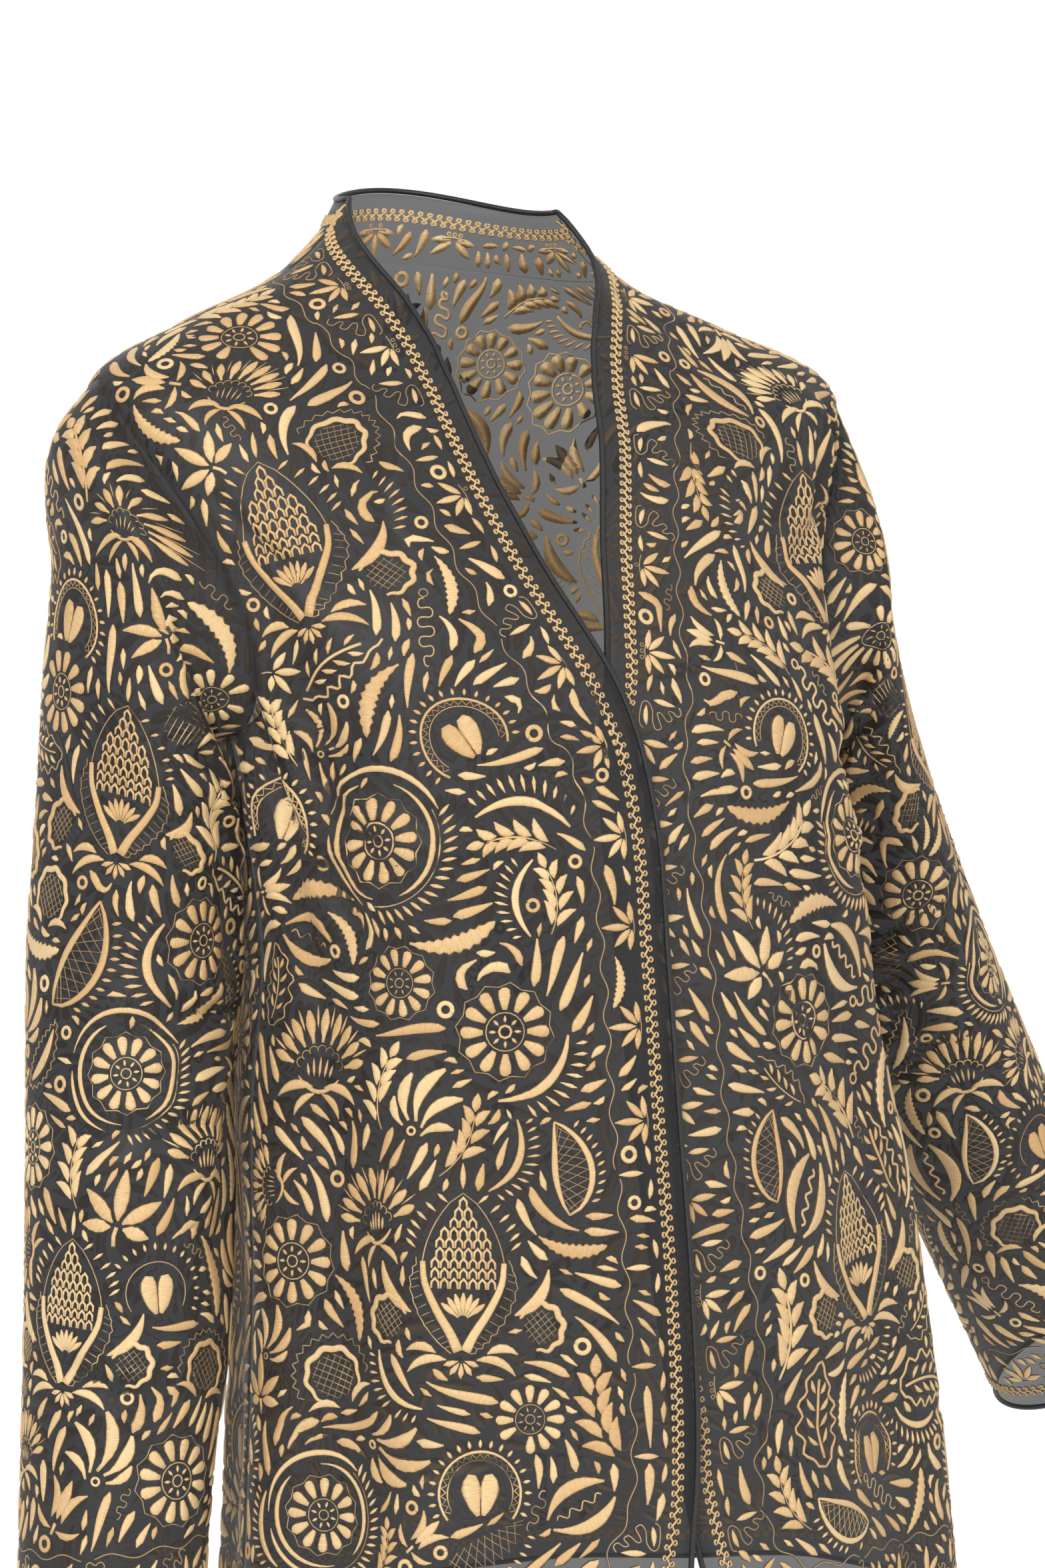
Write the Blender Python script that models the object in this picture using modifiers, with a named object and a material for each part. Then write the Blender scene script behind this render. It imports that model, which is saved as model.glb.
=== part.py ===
"""An open-front jacket of sheer embroidered cloth, in the hollow shape that it has when worn.

The cloth hangs from the shoulders, so the frame's origin is the middle of the neck base, +Z is up,
the front faces -Y and the wearer's left is +X. The body is one smooth surface made of rings, from
the hem to the top of the neck stand, and each panel is a patch of it. The sleeves start on the
armholes of that surface. All lengths are in metres and all angles in degrees.
"""

import math

import bpy
import numpy as np

# Cloth, seams and trimmings
WALL = 0.0012
SEAM_GAP = 0.0003
BINDING_RADIUS = 0.0014
LAP_LIFT = 0.0046
LAP_FLAT = 0.020
LAP_FADE = 0.050
LAP_RISE = 0.070
SNAP_RADIUS = 0.0045
SNAP_THICKNESS = 0.0010
SNAP_GAP = 0.0005
SNAP_UP = 0.420
SNAP_AROUND = -2.4

# Levels on the body surface, as cloth length above the hem
UNDERARM_UP = 0.437
SHOULDER_TIP_UP = 0.614
NECK_BASE_UP = 0.712
STAND_TOP_UP = 0.752
NECK_CROSSING_UP = 0.462
HEM_CORNER_RADIUS = 0.050

# Armholes: half the width of their egg shape on the body surface, and how much fuller it is low down
ARMHOLE_HALF_WIDTH = 24.0
ARMHOLE_SCOOP = 0.18

# Numbers of grid cells. The armhole's points are shared by the panels and the sleeve.
LOWER_ROWS = 15
CHEST_ROWS = 11
NECK_ROWS = 3
HOLE_ROWS = CHEST_ROWS + NECK_ROWS
SHOULDER_COLUMNS = 7
STAND_ROWS = 3
FRONT_COLUMNS = 2 * (SHOULDER_COLUMNS + STAND_ROWS)
NECK_COLUMNS = 14
SLEEVE_SIDES = 2 * HOLE_ROWS
SLEEVE_ROWS = 26
SNAP_SIDES = 12

# The steps that the cloth's slope is read over, and the bluntest corner that a seam draws back for
SLOPE_STEP_AROUND = 0.2
SLOPE_STEP_UP = 0.001
SHARPEST_BEND_COSINE = 0.8

# A sleeve's folds start below its cap and grow weaker towards the cuff, as shares of its length
SLEEVE_FOLDS_START = 0.12
CUFF_CALM_START = 0.90
CUFF_CALM = 0.70

RIGHT, LEFT = -1, 1

# The body's rings, hem first. right, left, front and back are half widths from the ring's centre.
RING_COLUMNS = (
    "up", "right", "left", "front", "back", "centre_x", "centre_y",
    "z_front", "z_side", "z_back", "tilt",
)
RINGS = (
    (0.000, 0.163, 0.222, 0.146, 0.138, 0.032, -0.036, -0.672, -0.672, -0.672, 0.010),
    (0.090, 0.157, 0.213, 0.142, 0.134, 0.030, -0.036, -0.582, -0.582, -0.582, 0.008),
    (0.178, 0.151, 0.203, 0.138, 0.129, 0.026, -0.037, -0.494, -0.494, -0.494, 0.006),
    (0.260, 0.148, 0.193, 0.133, 0.123, 0.021, -0.038, -0.412, -0.412, -0.412, 0.004),
    (0.335, 0.138, 0.183, 0.129, 0.119, 0.016, -0.038, -0.337, -0.337, -0.337, 0.002),
    (0.395, 0.143, 0.175, 0.126, 0.116, 0.012, -0.038, -0.277, -0.277, -0.277, 0.000),
    (0.437, 0.148, 0.174, 0.124, 0.114, 0.010, -0.036, -0.235, -0.235, -0.235, 0.000),
    (0.489, 0.165, 0.180, 0.120, 0.112, 0.006, -0.030, -0.192, -0.188, -0.186, 0.005),
    (0.552, 0.185, 0.193, 0.108, 0.106, 0.002, -0.022, -0.145, -0.126, -0.124, 0.020),
    (0.614, 0.195, 0.207, 0.092, 0.094, 0.000, -0.010, -0.098, -0.059, -0.064, 0.035),
    (0.664, 0.144, 0.150, 0.076, 0.082, 0.000, -0.003, -0.062, -0.030, -0.024, 0.030),
    (0.712, 0.087, 0.090, 0.065, 0.071, 0.000, 0.000, -0.026, -0.004, 0.008, 0.015),
    (0.734, 0.068, 0.070, 0.057, 0.065, 0.000, 0.000, -0.005, 0.013, 0.026, 0.000),
    (0.752, 0.058, 0.060, 0.054, 0.063, 0.000, 0.000, 0.012, 0.029, 0.043, 0.000),
)

# The front edges: how far round the ring each one lies from the centre front, + to the wearer's left
EDGE_COLUMNS = ("up", "right_edge", "left_edge")
EDGES = (
    (0.000, -2.0, 6.5),
    (0.045, -0.8, 2.8),
    (0.090, 0.9, 0.3),
    (0.178, 1.8, -2.8),
    (0.260, 2.0, -4.6),
    (0.335, 2.3, -5.6),
    (0.395, 2.4, -6.2),
    (0.437, 0.3, -5.2),
    (0.462, -1.7, -2.2),
    (0.489, -4.2, 0.0),
    (0.520, -6.6, 2.0),
    (0.552, -8.6, 4.0),
    (0.580, -9.8, 6.0),
    (0.614, -11.2, 8.6),
    (0.640, -13.6, 11.4),
    (0.664, -17.6, 15.6),
    (0.690, -26.0, 23.5),
    (0.712, -42.0, 38.5),
    (0.722, -55.0, 52.0),
    (0.734, -72.0, 70.0),
    (0.743, -82.0, 81.0),
    (0.752, -90.0, 90.0),
)

# Folds of the body: where round the ring, how wide, how far out (+) or in (-), between which levels
# they are at full depth, over what length they fade, and how far round they lean per metre up
FOLD_COLUMNS = ("at", "width", "depth", "low", "high", "fade", "lean")
FOLDS = (
    (-40.0, 24.0, 0.008, 0.360, 0.440, 0.110, 0.0),
    (40.0, 24.0, 0.008, 0.360, 0.440, 0.110, 0.0),
    (-27.0, 8.0, -0.0035, 0.000, 0.180, 0.260, 10.0),
    (-45.0, 9.0, 0.0060, 0.000, 0.160, 0.250, -12.0),
    (-63.0, 9.0, -0.0065, 0.000, 0.200, 0.240, -8.0),
    (-80.0, 9.0, 0.0060, 0.000, 0.120, 0.260, 0.0),
    (22.0, 8.0, 0.0030, 0.000, 0.140, 0.200, -8.0),
    (40.0, 8.0, -0.0050, 0.000, 0.150, 0.240, -8.0),
    (57.0, 9.0, 0.0070, 0.000, 0.200, 0.220, 6.0),
    (76.0, 8.0, -0.0070, 0.000, 0.150, 0.230, 10.0),
    (52.0, 6.0, 0.0045, 0.380, 0.520, 0.090, 0.0),
    (63.0, 5.0, -0.0080, 0.330, 0.520, 0.110, 0.0),
    (-60.0, 6.0, -0.0060, 0.380, 0.500, 0.090, 12.0),
    (-34.0, 7.0, -0.0030, 0.520, 0.600, 0.060, 60.0),
    (44.0, 7.0, -0.0040, 0.560, 0.680, 0.060, 90.0),
    (104.0, 9.0, -0.0060, 0.000, 0.150, 0.240, 8.0),
    (122.0, 9.0, 0.0070, 0.000, 0.140, 0.250, 6.0),
    (140.0, 9.0, -0.0060, 0.000, 0.170, 0.240, 4.0),
    (159.0, 9.0, 0.0050, 0.000, 0.150, 0.260, 0.0),
    (179.0, 10.0, -0.0045, 0.000, 0.170, 0.240, 0.0),
    (199.0, 9.0, 0.0055, 0.000, 0.160, 0.260, 0.0),
    (218.0, 9.0, -0.0050, 0.000, 0.150, 0.240, -4.0),
    (237.0, 9.0, 0.0050, 0.000, 0.140, 0.240, -6.0),
    (255.0, 9.0, -0.0050, 0.000, 0.130, 0.240, -8.0),
    (142.0, 16.0, 0.0050, 0.500, 0.600, 0.070, 0.0),
    (218.0, 16.0, 0.0050, 0.500, 0.600, 0.070, 0.0),
)

# Each sleeve's sections below the armhole: the centre, how far the outer side is turned up from
# level, half the distance between the inner and outer sides, and half its depth from front to back
SLEEVE_COLUMNS = ("x", "y", "z", "pitch", "half_side", "half_fore")
SLEEVES = {
    RIGHT: (
        (-0.1850, -0.022, -0.1680, 66.0, 0.0815, 0.0530),
        (-0.1770, -0.017, -0.2055, 58.0, 0.0710, 0.0560),
        (-0.1740, -0.010, -0.2470, 45.5, 0.0610, 0.0585),
        (-0.1712, -0.001, -0.2950, 30.0, 0.0530, 0.0600),
        (-0.1715, 0.002, -0.3450, 14.0, 0.0510, 0.0580),
        (-0.1755, -0.004, -0.4100, 4.0, 0.0490, 0.0555),
        (-0.1800, -0.010, -0.4800, 0.0, 0.0475, 0.0535),
        (-0.1840, -0.012, -0.5500, -3.0, 0.0460, 0.0515),
        (-0.1890, -0.016, -0.6100, -5.0, 0.0445, 0.0495),
        (-0.1930, -0.020, -0.6560, -5.0, 0.0435, 0.0480),
    ),
    LEFT: (
        (0.2060, -0.020, -0.1650, 81.6, 0.0718, 0.0500),
        (0.2145, -0.013, -0.2027, 75.1, 0.0611, 0.0520),
        (0.2268, -0.005, -0.2503, 65.1, 0.0527, 0.0560),
        (0.2490, 0.003, -0.3040, 54.0, 0.0515, 0.0570),
        (0.2730, 0.008, -0.3590, 43.0, 0.0500, 0.0565),
        (0.3040, 0.014, -0.4145, 35.0, 0.0480, 0.0550),
        (0.3420, 0.026, -0.4720, 31.0, 0.0470, 0.0530),
        (0.3820, 0.044, -0.5310, 31.0, 0.0455, 0.0505),
        (0.4180, 0.060, -0.5830, 31.0, 0.0440, 0.0480),
    ),
}

# Folds of a sleeve, with the body's fold columns: at is 0 under the arm, 90 in front and 180 outside,
# low, high and fade are shares of the sleeve's length, and lean is how far the fold winds round it
SLEEVE_FOLDS = {
    RIGHT: (
        (60.0, 22.0, -0.0055, 0.10, 0.34, 0.14, -90.0),
        (30.0, 18.0, 0.0045, 0.16, 0.40, 0.14, -60.0),
        (118.0, 24.0, 0.0030, 0.24, 0.70, 0.16, 14.0),
        (40.0, 16.0, -0.0045, 0.46, 0.62, 0.10, 110.0),
        (20.0, 15.0, 0.0035, 0.60, 0.76, 0.10, 110.0),
        (320.0, 22.0, -0.0040, 0.14, 0.50, 0.16, 60.0),
        (290.0, 20.0, 0.0035, 0.50, 0.80, 0.14, -50.0),
    ),
    LEFT: (
        (62.0, 20.0, -0.0050, 0.08, 0.26, 0.12, -60.0),
        (96.0, 20.0, 0.0040, 0.14, 0.44, 0.14, 20.0),
        (24.0, 16.0, 0.0040, 0.28, 0.44, 0.12, 90.0),
        (48.0, 15.0, -0.0045, 0.40, 0.56, 0.10, 110.0),
        (130.0, 20.0, -0.0030, 0.36, 0.74, 0.14, -20.0),
        (315.0, 20.0, -0.0040, 0.16, 0.48, 0.14, 60.0),
        (280.0, 20.0, 0.0035, 0.46, 0.78, 0.14, -40.0),
    ),
}
CLOTH_COLOUR = (0.045, 0.041, 0.040, 1.0)
BINDING_COLOUR = (0.010, 0.010, 0.011, 1.0)
SNAP_COLOUR = (0.012, 0.012, 0.013, 1.0)


def smooth_table(rows, at):
    """Reads a table at the places asked for, with a smooth curve through its rows. Column 0 is the place."""
    table = np.array(rows, float)
    place, values = table[:, 0], table[:, 1:]
    slope = np.gradient(values, place, axis=0)
    at = np.clip(np.asarray(at, float), place[0], place[-1])
    low = np.clip(np.searchsorted(place, at, side="right") - 1, 0, len(place) - 2)
    step = place[low + 1] - place[low]
    share = ((at - place[low]) / step)[..., None]
    step = step[..., None]
    return (
        (1 + 2 * share) * (1 - share) ** 2 * values[low]
        + share * (1 - share) ** 2 * step * slope[low]
        + share**2 * (3 - 2 * share) * values[low + 1]
        + share**2 * (share - 1) * step * slope[low + 1]
    )


def smooth_step(low, high, value):
    """0 below low, 1 above high, and a smooth rise between them."""
    share = np.clip((value - low) / (high - low), 0, 1)
    return share * share * (3 - 2 * share)


def unit(vectors):
    """Each vector at length 1."""
    return vectors / np.linalg.norm(vectors, axis=-1, keepdims=True)


def fold_height(folds, around, along):
    """How far the folds of a table push the cloth out, at places round and along it."""
    height = np.zeros(np.broadcast(around, along).shape)
    for row in folds:
        fold = dict(zip(FOLD_COLUMNS, row))
        middle = (fold["low"] + fold["high"]) / 2
        away = around - fold["at"] - fold["lean"] * (along - middle)
        away = (away + 180.0) % 360.0 - 180.0
        there = 1 - smooth_step(fold["high"], fold["high"] + fold["fade"], along)
        if fold["low"] > 0:
            there = there * smooth_step(fold["low"] - fold["fade"], fold["low"], along)
        height += fold["depth"] * np.exp(-((away / fold["width"]) ** 2)) * there
    return height


def body_point(around, up):
    """A point of the cloth's middle surface: around from the centre front, + to the wearer's left."""
    around, up = np.broadcast_arrays(np.asarray(around, float), np.asarray(up, float))
    ring = dict(zip(RING_COLUMNS[1:], np.moveaxis(smooth_table(RINGS, up), -1, 0)))
    angle = np.radians(around)
    side, ahead = np.sin(angle), np.cos(angle)
    fold = fold_height(FOLDS, around, up)
    x = (np.where(side > 0, ring["left"], ring["right"]) + fold) * side
    y = -(np.where(ahead > 0, ring["front"], ring["back"]) + fold) * ahead
    z_ahead = np.where(ahead > 0, ring["z_front"], ring["z_back"])
    return np.stack(
        [
            ring["centre_x"] + x,
            ring["centre_y"] + y,
            z_ahead * ahead**2 + ring["z_side"] * side**2 + ring["tilt"] * x,
        ],
        axis=-1,
    )


def ring_width(up, side):
    """The body's half width on one side, to turn a length round it into degrees."""
    column = RING_COLUMNS.index("left" if side == LEFT else "right") - 1
    return smooth_table(RINGS, up)[..., column]


def edge_around(side, up):
    """Where a front's edge lies round the body at a level."""
    column = EDGE_COLUMNS.index("right_edge" if side == RIGHT else "left_edge") - 1
    return smooth_table(EDGES, up)[..., column]


def armhole(side, psi):
    """The armhole's place on the body surface. psi is 0 under the arm, 90 in front, 180 at the tip."""
    turn = np.radians(psi)
    middle = (UNDERARM_UP + SHOULDER_TIP_UP) / 2
    rise = (SHOULDER_TIP_UP - UNDERARM_UP) / 2
    around = 90.0 - ARMHOLE_HALF_WIDTH * np.sin(turn) * (1 + ARMHOLE_SCOOP * np.cos(turn))
    return side * around, middle - rise * np.cos(turn)


def coons(bottom, top, first, last):
    """A grid of places between four border lines of places, each given end to end."""
    columns = np.linspace(0, 1, len(bottom))[None, :, None]
    rows = np.linspace(0, 1, len(first))[:, None, None]
    between_sides = (1 - columns) * first[:, None] + columns * last[:, None]
    between_ends = (1 - rows) * bottom[None] + rows * top[None]
    corners = (1 - rows) * ((1 - columns) * bottom[0] + columns * bottom[-1])
    corners = corners + rows * ((1 - columns) * top[0] + columns * top[-1])
    return between_sides + between_ends - corners


def line(start, end, count):
    """Places on a straight line of the body surface, both ends included."""
    return np.linspace(np.array(start, float), np.array(end, float), count + 1)


def front_edge_line(side, levels):
    """Places of a front's edge at the levels given."""
    return np.stack([edge_around(side, levels), levels], axis=-1)


def rounded_corner(side, grid):
    """Draws a front's lowest, foremost corner in to a round one."""
    around, up = grid[..., 0].copy(), grid[..., 1].copy()
    width = ring_width(up, side)
    across = side * np.radians(around - edge_around(side, up)) * width
    radius = HEM_CORNER_RADIUS
    inside = (across < radius) & (up < radius)
    u, v = 1 - across / radius, 1 - up / radius
    # a square's points go to the disc's, on the same line from its centre
    reach = np.maximum(np.maximum(np.abs(u), np.abs(v)), 1e-9)
    shrink = np.where(inside, reach / np.maximum(np.hypot(u, v), 1e-9), 1.0)
    across = np.where(inside, radius * (1 - u * shrink), across)
    up = np.where(inside, radius * (1 - v * shrink), up)
    around = edge_around(side, up) + side * np.degrees(across / width)
    return np.stack([around, up], axis=-1)


def front_places(side):
    """The grid of places of one front, from the hem up and from its edge to its side seam."""
    low = np.linspace(0, UNDERARM_UP, LOWER_ROWS + 1)
    hem = line((edge_around(side, 0.0), 0.0), (side * 90.0, 0.0), FRONT_COLUMNS)
    chest = line(
        (edge_around(side, UNDERARM_UP), UNDERARM_UP), (side * 90.0, UNDERARM_UP), FRONT_COLUMNS
    )
    seam = line((side * 90.0, 0.0), (side * 90.0, UNDERARM_UP), LOWER_ROWS)
    lower = rounded_corner(side, coons(hem, chest, front_edge_line(side, low), seam))
    chest_levels = np.linspace(UNDERARM_UP, NECK_BASE_UP, CHEST_ROWS + 1)
    high = np.append(chest_levels, np.linspace(NECK_BASE_UP, STAND_TOP_UP, NECK_ROWS + 1)[1:])
    neck_side = (side * 90.0, NECK_BASE_UP)
    stand = line((side * 90.0, STAND_TOP_UP), neck_side, 2 * STAND_ROWS)
    slope = line(neck_side, (side * 90.0, SHOULDER_TIP_UP), 2 * SHOULDER_COLUMNS)
    shoulder = np.concatenate([stand, slope[1:]])
    hole = np.stack(armhole(side, np.linspace(0, 180, HOLE_ROWS + 1)), axis=-1)
    upper = coons(chest, shoulder, front_edge_line(side, high), hole)
    return np.concatenate([lower, upper[1:]])


def lap_lift(side, places):
    """How far the wearer's right front stands off, where it lies over the left one."""
    if side == LEFT:
        return np.zeros(places.shape[:2])
    around, up = places[..., 0], places[..., 1]
    beyond = np.radians(around) * ring_width(up, RIGHT)
    across = smooth_step(-LAP_FLAT - LAP_FADE, -LAP_FLAT, beyond)
    return LAP_LIFT * across * (1 - smooth_step(NECK_CROSSING_UP, NECK_CROSSING_UP + LAP_RISE, up))


def outward(around, up):
    """The cloth's outward direction at places on the body surface."""
    up = np.clip(up, SLOPE_STEP_UP, STAND_TOP_UP - SLOPE_STEP_UP)
    across = body_point(around + SLOPE_STEP_AROUND, up) - body_point(around - SLOPE_STEP_AROUND, up)
    along = body_point(around, up + SLOPE_STEP_UP) - body_point(around, up - SLOPE_STEP_UP)
    return unit(np.cross(across, along))


def front_points(side):
    """The points of one front's middle surface."""
    places = front_places(side)
    points = body_point(places[..., 0], places[..., 1])
    lift = lap_lift(side, places)[..., None]
    return points + lift * outward(places[..., 0], places[..., 1])


def back_points():
    """The points of the back's middle surface, from the left side seam to the right one."""
    columns = 2 * SHOULDER_COLUMNS + NECK_COLUMNS
    hem = line((90.0, 0.0), (270.0, 0.0), columns)
    chest = line((90.0, UNDERARM_UP), (270.0, UNDERARM_UP), columns)
    left_seam = line((90.0, 0.0), (90.0, UNDERARM_UP), LOWER_ROWS)
    right_seam = line((270.0, 0.0), (270.0, UNDERARM_UP), LOWER_ROWS)
    lower = coons(hem, chest, left_seam, right_seam)
    left_shoulder = line((90.0, SHOULDER_TIP_UP), (90.0, NECK_BASE_UP), SHOULDER_COLUMNS)
    neck = line((90.0, NECK_BASE_UP), (270.0, NECK_BASE_UP), NECK_COLUMNS)
    right_shoulder = line((270.0, NECK_BASE_UP), (270.0, SHOULDER_TIP_UP), SHOULDER_COLUMNS)
    top = np.concatenate([left_shoulder, neck[1:], right_shoulder[1:]])
    psi = np.linspace(360, 180, HOLE_ROWS + 1)
    left_hole = np.stack(armhole(LEFT, psi), axis=-1)
    right_hole = np.stack([360.0 - left_hole[:, 0], left_hole[:, 1]], axis=-1)
    upper = coons(chest, top, left_hole, right_hole)
    places = np.concatenate([lower, upper[1:]])
    return body_point(places[..., 0], places[..., 1])


def neck_stand_points():
    """The points of the stand at the back of the neck, from the left shoulder to the right one."""
    around = np.linspace(90, 270, NECK_COLUMNS + 1)[None, :]
    up = np.linspace(NECK_BASE_UP, STAND_TOP_UP, STAND_ROWS + 1)[:, None]
    return body_point(around, up)


def sleeve_points(side):
    """The points of a sleeve's middle surface, from the armhole to the cuff, as a closed tube."""
    psi = np.arange(SLEEVE_SIDES) * 360.0 / SLEEVE_SIDES
    turn = np.radians(psi)
    around, up = armhole(side, psi)
    start = body_point(around, up)
    section = dict(zip(SLEEVE_COLUMNS, np.array(SLEEVES[side], float).T))
    centre = np.stack([section["x"], section["y"], section["z"]], axis=-1)
    pitch = np.radians(section["pitch"])
    outer = np.stack([side * np.cos(pitch), 0 * pitch, np.sin(pitch)], axis=-1)
    forward = np.array([0.0, -1.0, 0.0])
    rings = (
        centre[:, None]
        - (section["half_side"][:, None] * np.cos(turn))[..., None] * outer[:, None]
        + (section["half_fore"][:, None] * np.sin(turn))[..., None] * forward
    )
    rings = np.concatenate([start[None], rings])
    middles = rings.mean(axis=1)
    length = np.concatenate([[0], np.cumsum(np.linalg.norm(np.diff(middles, axis=0), axis=1))])
    table = np.column_stack([length, rings.reshape(len(rings), -1)])
    at = np.linspace(0, length[-1], SLEEVE_ROWS + 1)
    points = smooth_table(table, at).reshape(len(at), -1, 3)
    share = (at / length[-1])[:, None]
    height = fold_height(SLEEVE_FOLDS[side], psi[None, :], share)
    spread = smooth_step(0.0, SLEEVE_FOLDS_START, share)
    spread = spread * (1 - CUFF_CALM * smooth_step(CUFF_CALM_START, 1.0, share))
    axis = points.mean(axis=1, keepdims=True)
    return points + (height * spread)[..., None] * unit(points - axis)


def across(edge, inner, closed=False):
    """The way from a border into its wall, square to the border."""
    if closed:
        along = unit(np.roll(edge, -1, axis=0) - np.roll(edge, 1, axis=0))
    else:
        along = unit(np.gradient(edge, axis=0))
    into = inner - edge
    return unit(into - (into * along).sum(-1, keepdims=True) * along)


def bend_room(own, other):
    """How far a wall draws back from a seam: more, the sharper the angle at which it meets its neighbour."""
    cosine = np.clip((own * other).sum(-1), -1.0, SHARPEST_BEND_COSINE)
    return SEAM_GAP / 2 + WALL / 2 * np.sqrt((1 + cosine) / (1 - cosine))


def inset(points, borders):
    """Draws the named borders of a grid in. Each has the room to leave and its way into the wall."""
    moved = points.copy()
    lines = {"bottom": np.s_[0], "top": np.s_[-1], "first": np.s_[:, 0], "last": np.s_[:, -1]}
    for name, (room, way) in borders.items():
        moved[lines[name]] += np.asarray(room)[..., None] * way
    return moved


def material(name, colour, roughness):
    """A plain surface of one colour."""
    made = bpy.data.materials.new(name)
    made.use_nodes = True
    shader = made.node_tree.nodes["Principled BSDF"]
    shader.inputs["Base Color"].default_value = colour
    shader.inputs["Roughness"].default_value = roughness
    return made


def cloth(name, points, surface, collection, closed=False, flip=False):
    """A panel of cloth: the grid as a mesh, with a wall's thickness given by Solidify."""
    rows, columns = points.shape[:2]
    around = columns if closed else columns - 1
    faces = []
    for row in range(rows - 1):
        for column in range(around):
            after = (column + 1) % columns
            quad = [
                row * columns + column,
                row * columns + after,
                (row + 1) * columns + after,
                (row + 1) * columns + column,
            ]
            faces.append(quad[::-1] if flip else quad)
    mesh = bpy.data.meshes.new(name)
    mesh.from_pydata([tuple(point) for point in points.reshape(-1, 3)], [], faces)
    mesh.materials.append(surface)
    mesh.shade_smooth()
    panel = bpy.data.objects.new(name, mesh)
    collection.objects.link(panel)
    wall = panel.modifiers.new("wall", "SOLIDIFY")
    wall.thickness = WALL
    wall.offset = 0.0
    wall.use_even_offset = True
    return panel


def binding_path(edge, inner):
    """The line of a binding's middle, just past a cloth edge. inner is the grid line next to the edge."""
    along = unit(np.gradient(edge, axis=0))
    away = edge - inner
    away = unit(away - (away * along).sum(-1, keepdims=True) * along)
    return edge + (BINDING_RADIUS + SEAM_GAP) * away


def binding(name, path, surface, collection, cyclic=False):
    """A rolled edge: a thin tube along a path."""
    if not cyclic:
        path = path.copy()
        path[0] += SEAM_GAP * unit(path[1] - path[0])
        path[-1] += SEAM_GAP * unit(path[-2] - path[-1])
    curve = bpy.data.curves.new(name, "CURVE")
    curve.dimensions = "3D"
    curve.bevel_depth = BINDING_RADIUS
    curve.bevel_resolution = 1
    curve.use_fill_caps = not cyclic
    spline = curve.splines.new("POLY")
    spline.points.add(len(path) - 1)
    for point, place in zip(spline.points, path):
        point.co = (*place, 1.0)
    spline.use_cyclic_u = cyclic
    curve.materials.append(surface)
    roll = bpy.data.objects.new(name, curve)
    collection.objects.link(roll)
    return roll


def snap(name, middle, direction, surface, collection):
    """One half of the press fastener: a thin round disc."""
    bpy.ops.mesh.primitive_cylinder_add(
        vertices=SNAP_SIDES, radius=SNAP_RADIUS, depth=SNAP_THICKNESS, location=tuple(middle)
    )
    disc = bpy.context.object
    disc.name = name
    disc.data.name = name
    tilt = math.atan2(math.hypot(direction[0], direction[1]), direction[2])
    disc.rotation_euler = (0.0, tilt, math.atan2(direction[1], direction[0]))
    disc.data.materials.append(surface)
    for home in list(disc.users_collection):
        home.objects.unlink(disc)
    collection.objects.link(disc)
    return disc


def clear_scene():
    """Removes what a new scene starts with."""
    for thing in list(bpy.data.objects):
        bpy.data.objects.remove(thing, do_unlink=True)


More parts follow.
